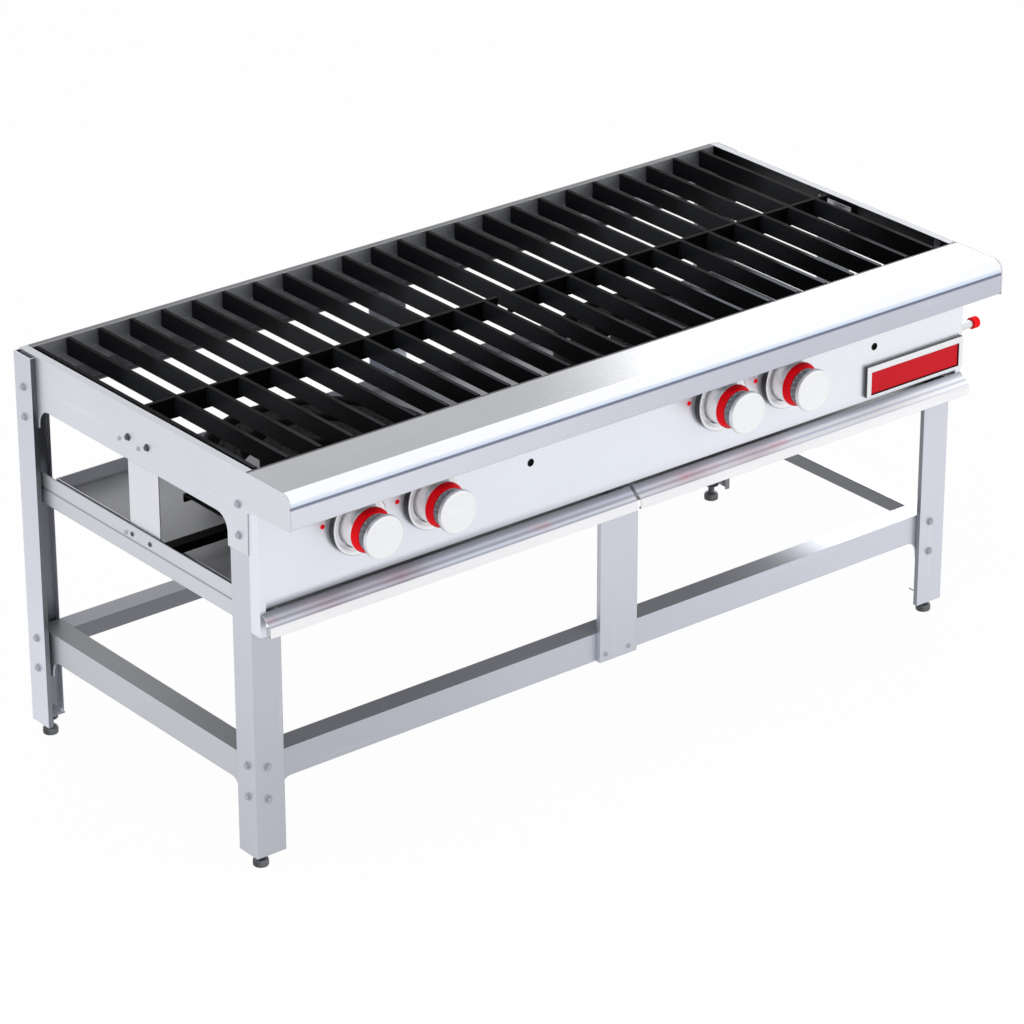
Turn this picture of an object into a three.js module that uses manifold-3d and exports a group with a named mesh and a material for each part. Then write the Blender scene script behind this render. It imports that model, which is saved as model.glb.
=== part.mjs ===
// A low two-section gas stock pot range in folded stainless sheet, with black flat-bar grates.
// Millimetres, +Z up. Inside the machine group X runs from left to right along the front, Y from the
// front legs' face to the back, and Z up from the floor.
import * as THREE from "three";
import { mergeVertices } from "three/addons/utils/BufferGeometryUtils.js";
import Module from "manifold-3d";

const wasm = await Module();
wasm.setup();

// ---------------------------------------------------------------- driving dimensions
const WIDTH = 1300; // over the two side panels
const DEPTH = 545; // over the legs, front to back
const TOP = 610; // floor to the flat top of the ledge and grates
const LEG_BOTTOM = 22; // the levelling feet lift the legs by this much
const SHEET = 2; // structural sheet
const THIN = 1.5; // tray sheet
const GAP = 0.3; // clearance left between pieces that touch
const HALF = WIDTH / 2;

const LEG = {
  frontFlange: 49, // along X
  sideFlange: 42, // along Y
  lip: 8, // returned edges
  frontOuter: HALF - SHEET - GAP, // the front legs stand inside the side panels
  rearOuter: HALF + 8.3, // the rear legs stand outside them
  frontFlangeTop: 370, // the front flange stops below the trays
  top: 607,
};
const FOOT = { inset: 18, studR: 5, headR: 11.5, headHeight: 12, studTop: 62, plateZ: 34, plate: 34 };

const LOWER_RAIL = { recess: 4.6, frontFace: 8.6, top: 173, bottom: 129, tab: 102, flange: 36, flare: 17 };
const TRAY_RAIL = { recess: 4.6, top: 427, bottom: 380, crease: 404, flange: 38 };
const POST = { width: 69, bottom: 128, top: 379.7, shelf: 36, rearTop: 556 };
const STRAP = { recess: 8.4, y0: 219, y1: 291, z0: 388, z1: 600 };

const PANEL = { // side panels, outlines in (y, z)
  bottom: 531,
  tab: 487, // lowest end of the part that covers the front leg
  gussetY: 44,
  rearGussetY: 500,
  rearTab: 500,
  gusset: 24,
  topFlange: 13,
};
const NOSE = { reach: 99, round: 17, crease: 593, bottom: 558, lip: 22, grateShelf: 26, shelfZ: 583.6 };
const CONTROL = { proud: 22, bottom: 412, bend: 3, top: 606, ear: 10, earBottom: 372 };
const REAR = { bottom: 531, bottomFlange: 13, topFlange: 12, shelf: 42 };

const SECTION_X = [-325, 325]; // centre of each section
const KNOB_OFFSETS = [-160, -33.5]; // outer burner and inner burner knobs, from a section's centre
const PILOT_OFFSET = 144;
const KNOB_Z = 497;
const PILOT_Z = 497;

const BEZEL = { r: 46, face: 44, depth: 11, bore: 34 };
const KNOB = { skirtR: 32, ringAt: 31, ringEnd: 43, gripR: 28, capR: 32, capAt: 58, length: 66, stemR: 4 };
const RING = { inner: 26.3, front: 28.5, back: 33 };

const BADGE = { x0: 451.5, x1: 645, z0: 420.6, z1: 469, proud: 6, bevel: 1.2, plate: 4.2 };
const BADGE_WELL = { x0: 460, x1: 638, z0: 422.4, z1: 459.5 }; // its mouth, nearer the frame's lower edge

const GRATE = {
  bars: 12, pitch: 54, bar: 6.4, height: 26, y0: 4.5, y1: 530, first: -632.9, apart: 643,
  crossY: 261.5, crossBar: 6.4, crossHeight: 31, crossReach: 20,
};
const TRAY = {
  inner: 8, outer: 619, floor: 382.4, wall: 409, back: 512, front: -24, pullInner: 3, pullOuter: 646,
  lipY: -44, lipTop: 394, lipBottom: 379,
};

const BURNER = {
  y: 267, rimR: 178, rimBore: 169, outerR: 152, outerBore: 118, innerR: 92, innerBore: 30,
  bottom: 426.4, top: 462, ribs: 6, tubeR: 11, tubeZ: 470, tubeEnd: -78,
};
const SUPPORT = { y: [50, 150], z: [512, 524] };
const BRACE = { y0: 190, y1: 210, z0: 413, z1: 426 };
const MANIFOLD = { y: 11, z: 462, r: 13, bore: 10, left: -612, nippleR: 5.8, nippleEnd: 707 };
const INLET_CAP = { r: 9, length: 13, cover: 8 };

// ---------------------------------------------------------------- finishes
const steel = { color: 0xd4d7df, roughness: 0.38, metalness: 0.9 };
const paleSteel = { color: 0xe6e9f4, roughness: 0.34, metalness: 0.85 };
const black = { color: 0x121316, roughness: 0.3, metalness: 0.1 };
const castIron = { color: 0x26272a, roughness: 0.75, metalness: 0.4 };
const red = { color: 0xa8101c, roughness: 0.3, metalness: 0.0 };
const capRed = { color: 0xe02020, roughness: 0.45, metalness: 0.0 };
const silver = { color: 0xe8eaee, roughness: 0.22, metalness: 0.9 };
const brass = { color: 0xb49350, roughness: 0.4, metalness: 0.9 };
const darkZinc = { color: 0x6c7078, roughness: 0.4, metalness: 0.8 };

// ---------------------------------------------------------------- geometry helpers
// A closed geometry as a solid that can be joined and cut.
function solid(geometry) {
  const bare = geometry.clone();
  bare.deleteAttribute("normal");
  bare.deleteAttribute("uv");
  const merged = mergeVertices(bare, 1e-4);
  return new wasm.Manifold(
    new wasm.Mesh({
      numProp: 3,
      vertProperties: new Float32Array(merged.attributes.position.array),
      triVerts: new Uint32Array(merged.index.array),
    }),
  );
}

// A solid as a geometry again.
function geometryOf(body) {
  const mesh = body.getMesh();
  const geometry = new THREE.BufferGeometry();
  geometry.setAttribute("position", new THREE.BufferAttribute(mesh.vertProperties, 3));
  geometry.setIndex(new THREE.BufferAttribute(mesh.triVerts, 1));
  geometry.computeVertexNormals();
  return geometry;
}

const join = (...pieces) => geometryOf(pieces.map(solid).reduce((a, b) => a.add(b)));
const cut = (base, ...tools) => geometryOf(tools.map(solid).reduce((a, b) => a.subtract(b), solid(base)));

// An axis-aligned block between two corners.
function block(x0, x1, y0, y1, z0, z1) {
  const box = new THREE.BoxGeometry(Math.abs(x1 - x0), Math.abs(y1 - y0), Math.abs(z1 - z0));
  return box.translate((x0 + x1) / 2, (y0 + y1) / 2, (z0 + z1) / 2);
}

// A flat shape from a list of [u, v] points.
const shapeOf = (points) => new THREE.Shape(points.map(([u, v]) => new THREE.Vector2(u, v)));

// An outline in (y, z), extruded from x0 to x1.
function extrudeX(points, x0, x1) {
  const g = new THREE.ExtrudeGeometry(shapeOf(points), { depth: x1 - x0, bevelEnabled: false });
  // The shape's plane (u, v) becomes (Y, Z), and its depth becomes X.
  g.applyMatrix4(new THREE.Matrix4().set(0, 0, 1, x0, 1, 0, 0, 0, 0, 1, 0, 0, 0, 0, 0, 1));
  return g;
}

// An outline in (x, z), extruded from y0 to y1.
function extrudeY(points, y0, y1) {
  const g = new THREE.ExtrudeGeometry(shapeOf(points), { depth: y1 - y0, bevelEnabled: false });
  g.applyMatrix4(new THREE.Matrix4().set(1, 0, 0, 0, 0, 0, -1, y1, 0, 1, 0, 0, 0, 0, 0, 1));
  return g;
}

// An outline in (x, y), extruded from z0 to z1.
function extrudeZ(points, z0, z1) {
  const g = new THREE.ExtrudeGeometry(shapeOf(points), { depth: z1 - z0, bevelEnabled: false });
  return g.translate(0, 0, z0);
}

// The outline of a sheet folded along a path: the path, and the same path offset to its left.
function folded(path, thickness) {
  const offset = path.map((p, i) => {
    const before = path[Math.max(i - 1, 0)];
    const after = path[Math.min(i + 1, path.length - 1)];
    const a = i > 0 ? unit(before, p) : unit(p, after);
    const b = i < path.length - 1 ? unit(p, after) : a;
    const normal = [-(a[1] + b[1]) / 2, (a[0] + b[0]) / 2];
    const square = normal[0] ** 2 + normal[1] ** 2;
    return [p[0] + (normal[0] / square) * thickness, p[1] + (normal[1] / square) * thickness];
  });
  return [...path, ...offset.reverse()];
}

function unit(p, q) {
  const length = Math.hypot(q[0] - p[0], q[1] - p[1]);
  return [(q[0] - p[0]) / length, (q[1] - p[1]) / length];
}

// Points of an arc about (cu, cv), angles in degrees.
function arc(cu, cv, radius, from, to, steps) {
  return Array.from({ length: steps + 1 }, (_, i) => {
    const angle = THREE.MathUtils.degToRad(from + ((to - from) * i) / steps);
    return [cu + radius * Math.cos(angle), cv + radius * Math.sin(angle)];
  });
}

// A body of revolution about Z, from [radius, z] points listed from the bottom, up along the outside.
function turned(profile, sides) {
  const points = profile.map(([r, z]) => new THREE.Vector2(r, z));
  return new THREE.LatheGeometry(points, sides).rotateX(Math.PI / 2);
}

// A cylinder between two values on one axis.
function rod(axis, radius, from, to, a, b, sides = 20) {
  const g = new THREE.CylinderGeometry(radius, radius, to - from, sides);
  if (axis === "x") return g.rotateZ(Math.PI / 2).translate((from + to) / 2, a, b);
  if (axis === "y") return g.translate(a, (from + to) / 2, b);
  return g.rotateX(Math.PI / 2).translate(a, b, (from + to) / 2);
}

// A round tube along a list of points.
function tubeAlong(points, radius, sides, steps) {
  const curve = new THREE.CatmullRomCurve3(points.map((p) => new THREE.Vector3(...p)), false, "centripetal");
  const ring = Array.from({ length: sides }, (_, i) => {
    const angle = (2 * Math.PI * i) / sides;
    return [radius * Math.cos(angle), radius * Math.sin(angle)];
  });
  return new THREE.ExtrudeGeometry(shapeOf(ring), { extrudePath: curve, steps, bevelEnabled: false });
}

// ---------------------------------------------------------------- the scene graph
const range = new THREE.Group();
const machine = new THREE.Group();
range.add(machine);

function addMesh(name, geometry, finish, place = [0, 0, 0]) {
  const mesh = new THREE.Mesh(geometry, new THREE.MeshStandardMaterial(finish));
  mesh.name = name;
  mesh.position.set(...place);
  machine.add(mesh);
  return mesh;
}

// The same piece on the left and, mirrored, on the right.
function addPair(name, geometry, finish) {
  addMesh(`${name}_left`, geometry, finish);
  addMesh(`${name}_right`, geometry, finish).scale.x = -1;
}

// ---------------------------------------------------------------- legs and feet
// Left-hand legs are built at negative X. A leg is a folded angle with lips, and a plate for the foot.
function frontLeg() {
  const x = -LEG.frontOuter;
  const inner = x + LEG.frontFlange;
  const side = block(x, x + SHEET, 0, LEG.sideFlange, LEG_BOTTOM, LEG.top);
  const front = block(x, inner, 0, SHEET, LEG_BOTTOM, LEG.frontFlangeTop);
  const lip = block(inner - SHEET, inner, 0, LEG.lip, LEG_BOTTOM, LEG.frontFlangeTop);
  const plate = block(x, x + FOOT.plate, 0, FOOT.plate, FOOT.plateZ, FOOT.plateZ + SHEET);
  // The upper corner is cut away where the front ledge passes.
  const ledge = block(x - 5, inner, -5, SHEET + NOSE.grateShelf + 1, NOSE.shelfZ - SHEET - GAP, LEG.top + 1);
  return cut(join(side, front, lip, plate), footHole(x + FOOT.inset, FOOT.inset), ledge);
}

function rearLeg() {
  const x = -LEG.rearOuter;
  const inner = x + LEG.frontFlange;
  const edge = DEPTH - LEG.sideFlange;
  const side = block(x, x + SHEET, edge, DEPTH, LEG_BOTTOM, LEG.top);
  const sideLip = block(x, x + LEG.lip, edge, edge + SHEET, LEG_BOTTOM, LEG.top);
  const rear = block(x, inner, DEPTH - SHEET, DEPTH, LEG_BOTTOM, LEG.top);
  const rearLip = block(inner - SHEET, inner, DEPTH - LEG.lip, DEPTH, LEG_BOTTOM, LEG.top);
  const plate = block(x, x + FOOT.plate, DEPTH - FOOT.plate, DEPTH, FOOT.plateZ, FOOT.plateZ + SHEET);
  return cut(join(side, sideLip, rear, rearLip, plate), footHole(x + FOOT.inset, DEPTH - FOOT.inset));
}

const footHole = (x, y) => rod("z", FOOT.studR + 0.6, 0, 100, x, y);

function addLegs() {
  // The right front leg is drawn on the left and mirrored; the gas inlet passes through its side flange.
  const inlet = rod("x", MANIFOLD.nippleR + 1, -HALF - 10, -HALF + 30, MANIFOLD.y, MANIFOLD.z, 24);
  addMesh("leg_front_left", frontLeg(), steel);
  addMesh("leg_front_right", cut(frontLeg(), inlet), steel).scale.x = -1;
  addPair("leg_rear", rearLeg(), steel);
}

// A levelling foot: a rounded head on a threaded stud.
function addFeet() {
  const { studR, headR, headHeight, studTop } = FOOT;
  const round = arc(headR - 4, headHeight - 4, 4, 0, 90, 3);
  const profile = [[0, 0], [headR - 2, 0], [headR, 2], ...round, [studR, headHeight], [studR, studTop - 1],
    [studR - 1, studTop], [0, studTop]];
  const geometry = turned(profile, 20);
  const front = [LEG.frontOuter - FOOT.inset, FOOT.inset];
  const rear = [LEG.rearOuter - FOOT.inset, DEPTH - FOOT.inset];
  addMesh("foot_front_left", geometry, darkZinc, [-front[0], front[1], 0]);
  addMesh("foot_front_right", geometry, darkZinc, [front[0], front[1], 0]);
  addMesh("foot_rear_left", geometry, darkZinc, [-rear[0], rear[1], 0]);
  addMesh("foot_rear_right", geometry, darkZinc, [rear[0], rear[1], 0]);
}

// ---------------------------------------------------------------- lower frame
// The outline of a lower rail's web, along its length and up. Its underside flares down at the edges
// of the two legs, and its ends reach inside them.
function flaredWeb(from, to, legFrom, legTo) {
  const { top, bottom, tab, flare } = LOWER_RAIL;
  const left = arc(legFrom + flare, bottom - flare, flare, 180, 90, 5);
  const right = arc(legTo - flare, bottom - flare, flare, 90, 0, 5);
  return [
    [from, top], [from, tab], [legFrom - 1, tab], [legFrom - 1, bottom - flare], ...left,
    ...right, [legTo + 1, bottom - flare], [legTo + 1, tab], [to, tab], [to, top],
  ];
}

function lowerRailSide() {
  const { recess, top, flange } = LOWER_RAIL;
  const outer = -(HALF - recess);
  const [y0, y1] = [3, DEPTH - 3];
  const web = extrudeX(flaredWeb(y0, y1, LEG.sideFlange, DEPTH - LEG.sideFlange), outer, outer + SHEET);
  const shelf = block(outer, outer + flange, LOWER_RAIL.frontFace, DEPTH - LOWER_RAIL.frontFace, top - SHEET, top);
  return join(web, shelf);
}

function lowerRailFront() {
  const { recess, frontFace, top, flange } = LOWER_RAIL;
  const reach = HALF - recess - SHEET - GAP;
  const leg = LEG.frontOuter - LEG.frontFlange;
  const web = extrudeY(flaredWeb(-reach, reach, -leg, leg), frontFace, frontFace + SHEET);
  const clear = HALF - recess - flange - GAP;
  const shelf = block(-clear, clear, frontFace, frontFace + flange, top - SHEET, top);
  const corners = [-1, 1].map((side) =>
    block(side * (clear - 1), side * (HALF + 5), 0, frontFace + flange, top - SHEET - GAP, top + 1),
  );
  return join(cut(web, ...corners), shelf);
}

function addLowerFrame() {
  addPair("lower_rail", lowerRailSide(), steel);
  addMesh("lower_rail_front", lowerRailFront(), steel);
  // The rear rail is the front rail turned to face the back.
  addMesh("lower_rail_rear", lowerRailFront().rotateZ(Math.PI).translate(0, DEPTH, 0), steel);
}

// A post is a strap with returned edges, and a shelf at its top that carries the centre tray rail.
function centrePost() {
  const { width, bottom, top, shelf } = POST;
  const back = LOWER_RAIL.frontFace - GAP;
  const half = width / 2;
  const channel = extrudeZ(folded([[-half, back], [-half, 0], [half, 0], [half, back]], SHEET), bottom, top);
  return join(channel, block(-half, half, 0, shelf, top - SHEET, top));
}

function addPosts() {
  addMesh("centre_post_front", centrePost(), steel);
  // The rear post's face runs on up behind the rear apron.
  const face = block(-POST.width / 2, POST.width / 2, DEPTH - SHEET, DEPTH, POST.top - 5, POST.rearTop);
  addMesh("centre_post_rear", join(centrePost().rotateZ(Math.PI).translate(0, DEPTH, 0), face), steel);
}

// ---------------------------------------------------------------- tray rails and straps
function trayRailSide() {
  const { recess, top, bottom, crease, flange } = TRAY_RAIL;
  const outer = -(HALF - recess);
  // Outline in (x, z): the web with a shallow crease, and the flange that the tray slides on.
  const path = [
    [outer, top], [outer, crease + 1.6], [outer + 1.2, crease], [outer, crease - 1.6], [outer, bottom],
    [outer + flange, bottom],
  ];
  return extrudeY(folded(path, SHEET), 3, DEPTH - LEG.lip - GAP);
}

// The centre rail is a plate with an upright fin between the two trays.
function trayRailCentre() {
  const { bottom } = TRAY_RAIL;
  const plate = block(-34, 34, 0, DEPTH - 3, bottom, bottom + SHEET);
  const fin = block(-1.5, 1.5, 0, DEPTH - 6, bottom, BRACE.z0 - GAP);
  return join(plate, fin);
}

// The straps hang inside the side panels and the tray rails.
function strap() {
  const outer = -(HALF - STRAP.recess);
  return block(outer, outer + SHEET, STRAP.y0, STRAP.y1, STRAP.z0, STRAP.z1);
}

function addTrayRails() {
  addPair("tray_rail", trayRailSide(), steel);
  addMesh("tray_rail_centre", trayRailCentre(), steel);
  addPair("strap", strap(), steel);
  const reach = HALF - TRAY_RAIL.recess - SHEET - 2 * GAP;
  const channel = [[BRACE.y1, BRACE.z0], [BRACE.y1, BRACE.z1], [BRACE.y0, BRACE.z1], [BRACE.y0, BRACE.z0]];
  addMesh("cross_brace", extrudeX(folded(channel, SHEET), -reach, reach), black);
}

// ---------------------------------------------------------------- outer panels
// Outline of the nose in (y, z), from the flat top round the front to the bottom edge.
function noseCurve() {
  const { reach, round, crease, bottom } = NOSE;
  return [
    ...arc(-(reach - round), TOP - round, round, 90, 180, 6),
    [-reach, crease - 1], [-(reach - 2), crease - 2.5], [-reach, crease - 4], [-reach, bottom],
  ];
}

function sidePanel() {
  const { bottom, tab, gussetY, rearGussetY, rearTab, gusset, topFlange } = PANEL;
  const rear = DEPTH - SHEET - GAP;
  const front = arc(gussetY + gusset, bottom - gusset, gusset, 180, 90, 5);
  const back = arc(rearGussetY - gusset, bottom - gusset, gusset, 90, 0, 5);
  const outline = [
    [rear, TOP], ...noseCurve(), [-25, NOSE.bottom - 1], [-2, NOSE.bottom - 7], [-0.5, tab], [gussetY, tab],
    ...front, ...back, [rearGussetY, rearTab], [rear, rearTab],
  ];
  const web = extrudeX(outline, -HALF, -HALF + SHEET);
  return join(web, block(-HALF, -HALF + topFlange, SHEET + GAP, rear, TOP - SHEET, TOP));
}

// The front ledge: flat top, rounded nose with a crease, and the inner shelf that the grates rest on.
function frontLedge() {
  const reach = HALF - SHEET - GAP;
  const { reach: out, bottom, lip, grateShelf, shelfZ } = NOSE;
  const path = [
    [SHEET + grateShelf, shelfZ], [SHEET, shelfZ], [SHEET, TOP], ...noseCurve(), [-(out - lip), bottom],
  ];
  return extrudeX(folded(path, SHEET), -reach, reach);
}

function controlPanel() {
  const { proud, bottom, bend, top, ear, earBottom } = CONTROL;
  const reach = HALF - SHEET - GAP;
  const path = [
    [-2, top], [-proud, top], ...arc(-(proud - bend), bottom + bend, bend, 180, 270, 6), [-4, bottom],
  ];
  const face = extrudeX(folded(path, SHEET), -reach, reach);
  const ends = [-1, 1].flatMap((side) => [
    block(side * reach, side * (reach - SHEET), -proud, -GAP, earBottom, top),
    block(side * reach, side * (reach - ear), -proud, -proud + SHEET, earBottom, bottom + bend + 13),
  ]);
  const holes = SECTION_X.flatMap((centre) => [
    ...KNOB_OFFSETS.map((dx) => rod("y", 8, -proud - 5, 0, centre + dx, KNOB_Z, 20)),
    rod("y", 5.8, -proud - 5, 0, centre + PILOT_OFFSET, PILOT_Z, 20),
  ]);
  return cut(join(face, ...ends), ...holes);
}

// The rear apron: web with a flange at its bottom, narrow top flange, and the shelf that the grates rest on.
function rearApron() {
  const outer = DEPTH - SHEET - GAP;
  const reach = HALF - PANEL.topFlange - GAP;
  const inner = DEPTH - REAR.topFlange;
  const path = [
    [outer - REAR.bottomFlange, REAR.bottom], [outer, REAR.bottom], [outer, TOP], [inner, TOP],
    [inner, NOSE.shelfZ], [inner - REAR.shelf, NOSE.shelfZ],
  ];
  const section = extrudeX(folded(path, SHEET), -reach, reach);
  // Below the top flange the ends stop short of the rear legs.
  const clear = [-1, 1].map((side) =>
    block(side * (LEG.rearOuter - LEG.frontFlange - GAP), side * HALF, DEPTH - LEG.lip - GAP, DEPTH, 500, LEG.top + GAP),
  );
  return cut(section, ...clear);
}

function addPanels() {
  addPair("side_panel", sidePanel(), steel);
  addMesh("front_ledge", frontLedge(), steel);
  addMesh("control_panel", controlPanel(), paleSteel);
  addMesh("rear_apron", rearApron(), steel);
}

// ---------------------------------------------------------------- badge, left bare
function addBadge() {
  const { x0, x1, z0, z1, proud, bevel, plate } = BADGE;
  const face = -CONTROL.proud;
  const well = (d) => {
    const { x0: left, x1: right, z0: low, z1: high } = BADGE_WELL;
    return [[left + d, low + d], [right - d, low + d], [right - d, high - d], [left + d, high - d]];
  };
  const slab = extrudeY([[x0, z0], [x1, z0], [x1, z1], [x0, z1]], face - proud, face - GAP);
  // The well narrows from its mouth at the front to the plate at the back.
  const mouth = well(0).map(([x, z]) => [x, face - proud - 1, z]);
  const floor = well(bevel).map(([x, z]) => [x, face - GAP + 1, z]);
  addMesh("badge_frame", cut(slab, hexahedron(mouth, floor)), silver);
  addMesh("badge_plate", extrudeY(well(bevel + 0.5), face - plate, face - GAP), red);
}

// A closed six-sided body between two rings of four points, the first ring at lower Y.
function hexahedron(front, back) {
  const corners = [...front, ...back].flat();
  const faces = [
    0, 1, 2, 0, 2, 3, 4, 6, 5, 4, 7, 6, 0, 4, 5, 0, 5, 1, 1, 5, 6, 1, 6, 2, 2, 6, 7, 2, 7, 3, 3, 7, 4, 3, 4, 0,
  ];
  const g = new THREE.BufferGeometry();
  g.setAttribute("position", new THREE.BufferAttribute(new Float32Array(corners), 3));
  return g.setIndex(faces);
}

// ---------------------------------------------------------------- knobs, bezels and valves
// Turned pieces stand on their axis with their base at z = 0, then point forwards along -Y.
const forwards = (geometry) => geometry.rotateX(Math.PI / 2);

function bezel() {
  const { r, face, depth, bore } = BEZEL;
  return forwards(turned([
    [bore, GAP], [r, GAP], [r, depth - 4], [face - 1, depth], [bore + 2, depth - 3], [bore, depth - 4], [bore, GAP],
  ], 28));
}

function knobRing() {
  const { ringAt, ringEnd } = KNOB;
  return forwards(turned([
    [RING.inner, ringAt + GAP], [RING.back, ringAt + GAP], [RING.back, ringAt + 3], [RING.front, ringEnd - 1],
    [RING.inner, ringEnd - 0.5], [RING.inner, ringAt + GAP],
  ], 28));
}

// The knob: skirt behind the ring, a waist that carries the ring, a fluted grip and a cap.
function knob() {
  const { skirtR, ringAt, ringEnd, gripR, capR, capAt, length, stemR } = KNOB;
  const waist = RING.inner - GAP;
  const start = 2;
  const body = turned([
    [0, start], [skirtR - 2, start], [skirtR, start + 2], [skirtR, ringAt - 1], [skirtR - 1, ringAt],
    [waist, ringAt], [waist, ringEnd], [gripR, ringEnd], [gripR, capAt], [capR, capAt + 1],
    [capR, length - 3], [capR - 3, length], [0, length],
  ], 28);
  const flutes = Array.from({ length: 14 }, (_, i) => {
    const angle = (2 * Math.PI * (i + 0.5)) / 14;
    const r = gripR + 0.8;
    return rod("z", 2.4, ringEnd + 2, capAt - 1, r * Math.cos(angle), r * Math.sin(angle), 6);
  });
  const stem = rod("z", stemR, -28, start + 1, 0, 0, 12);
  return forwards(join(cut(body, ...flutes), stem));
}

// A gas valve: a block on the manifold with a collar that the stem turns in, and an outlet to the back.
function valve() {
  const axis = MANIFOLD.z - KNOB_Z;
  const drop = BURNER.tubeZ - KNOB_Z;
  const body = block(-13, 13, 1, 27, -15, 15);
  const foot = rod("z", 9, axis, -14, 0, MANIFOLD.y, 12);
  const outlet = block(-9, 9, 26, 34, drop - 9, 12);
  const jet = rod("y", 7, 33, 43.5, 0, drop, 12);
  const collar = rod("y", 11, -14, 4, 0, 0, 16);
  const bore = rod("y", KNOB.stemR + 0.6, -20, 8, 0, 0, 12);
  const saddle = rod("x", MANIFOLD.r + GAP, -20, 20, MANIFOLD.y, axis, 24);
  return cut(join(body, foot, outlet, jet, collar), bore, saddle);
}

function addControls() {
  const face = -CONTROL.proud;
  const [bezelShape, ringShape, knobShape, valveShape] = [bezel(), knobRing(), knob(), valve()];
  const names = ["left_outer", "left_inner", "right_outer", "right_inner"];
  const places = SECTION_X.flatMap((centre) => KNOB_OFFSETS.map((dx) => centre + dx));
  places.forEach((x, i) => {
    addMesh(`bezel_${names[i]}`, bezelShape, silver, [x, face, KNOB_Z]);
    addMesh(`knob_${names[i]}`, knobShape, silver, [x, face, KNOB_Z]);
    addMesh(`knob_ring_${names[i]}`, ringShape, red, [x, face, KNOB_Z]);
    addMesh(`valve_${names[i]}`, valveShape, brass, [x, 0, KNOB_Z]);
  });
}

// ---------------------------------------------------------------- gas train
function addManifold() {
  const { y, z, r, bore, left, nippleR, nippleEnd } = MANIFOLD;
  const neck = HALF - 34;
  const outside = join(rod("x", r, left, neck, y, z, 24), rod("x", nippleR, neck - 1, nippleEnd, y, z, 24));
  const inside = join(
    rod("x", bore, left + 8, neck - 8, y, z, 16), rod("x", nippleR - 2.5, neck - 9, nippleEnd + 1, y, z, 16),
  );
  addMesh("gas_manifold", cut(outside, inside), castIron);

  // The thread protector is a cup pushed over the end of the inlet.
  const { r: capR, length, cover } = INLET_CAP;
  const mouth = nippleEnd - cover;
  const cup = cut(
    join(rod("x", capR, mouth, mouth + length - 2, y, z, 24), rod("x", capR - 1.2, mouth + length - 3, mouth + length, y, z, 24)),
    rod("x", nippleR + GAP, mouth - 1, nippleEnd + 1, y, z, 24),
  );
  addMesh("inlet_cap", cup, capRed);
}

// A cast ring with chamfered upper edges.
function castRing(outside, bore, bottom, top, sides) {
  return turned([
    [bore, bottom], [outside, bottom], [outside, top - 3], [outside - 2, top], [bore + 2, top],
    [bore, top - 3], [bore, bottom],
  ], sides);
}

// A burner's mixer tube: back from behind its valve, over the castings, and down into its ring.
function mixerTube(offset, radius) {
  const { y, top, outerR, outerBore, innerR, innerBore, tubeR, tubeZ, tubeEnd, bottom } = BURNER;
  const outer = offset === KNOB_OFFSETS[0];
  const middle = outer ? (outerR + outerBore) / 2 : (innerR + innerBore) / 2;
  const x = outer ? tubeEnd : offset;
  const end = y - Math.sqrt(middle ** 2 - x ** 2);
  const run = tubeAlong([[offset, 50, tubeZ + 4], [x, end, top + tubeR + 4]], radius, 12, 1);
  const elbow = rod("z", radius, bottom + 4, top + tubeR + 6, x, end, 16);
  return join(run, elbow);
}

// The outer burner: a thin rim and a broad ring, joined by ribs.
function burnerOuter() {
  const { y, rimR, rimBore, outerR, outerBore, bottom, top, ribs } = BURNER;
  const rim = castRing(rimR, rimBore, bottom, top, 48).translate(0, y, 0);
  const ring = castRing(outerR, outerBore, bottom, top - 2, 40).translate(0, y, 0);
  const arms = Array.from({ length: ribs }, (_, i) =>
    block(outerR - 4, rimBore + 2, -4, 4, bottom, bottom + 12).rotateZ((Math.PI * (2 * i + 1)) / ribs).translate(0, y, 0),
  );
  // The inner burner's tube crosses over the front of the ring.
  return join(rim, ring, ...arms, mixerTube(KNOB_OFFSETS[0], BURNER.tubeR));
}

// The inner burner: a disc with a bore, with its own pad on the brace.
function burnerInner() {
  const { y, innerR, innerBore, bottom, top } = BURNER;
  const disc = castRing(innerR, innerBore, bottom, top - 2, 36).translate(0, y, 0);
  return join(disc, mixerTube(KNOB_OFFSETS[1], BURNER.tubeR));
}

function burnerSupportFront() {
  const [y0, y1] = SUPPORT.y;
  const [z0, z1] = SUPPORT.z;
  const reach = HALF - SHEET - GAP;
  return extrudeX(folded([[y1, z0], [y1, z1], [y0, z1], [y0, z0]], SHEET), -reach, reach);
}

function addBurners() {
  addMesh("burner_support_front", burnerSupportFront(), black);
  ["left", "right"].forEach((name, i) => {
    const place = [SECTION_X[i], 0, 0];
    addMesh(`burner_outer_${name}`, burnerOuter(), castIron, place);
    addMesh(`burner_inner_${name}`, burnerInner(), castIron, place);
    // The pilot line runs from behind its hole in the panel, under the support, to the outer ring.
    const x = PILOT_OFFSET;
    const tip = BURNER.top + 8;
    const route = [
      [x, -17, PILOT_Z], [x, 8, PILOT_Z], [x, 28, PILOT_Z - 6], [x - 4, 60, tip + 6], [x - 14, 110, tip],
      [x - 34, 170, tip],
    ];
    addMesh(`pilot_line_${name}`, tubeAlong(route, 4, 6, 14), brass, place);
  });
}

// ---------------------------------------------------------------- grates
// A grate: flat bars on edge from front to back, and one cross bar that stands out past the last of them.
function grate() {
  const { bars, pitch, bar, height, y0, y1, first, crossY, crossBar, crossHeight, crossReach } = GRATE;
  const flats = Array.from({ length: bars }, (_, i) =>
    block(first + pitch * i, first + pitch * i + bar, y0, y1, TOP - height, TOP),
  );
  const end = first + pitch * (bars - 1) + bar + crossReach;
  return join(...flats, block(first, end, crossY, crossY + crossBar, TOP - crossHeight, TOP));
}

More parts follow.
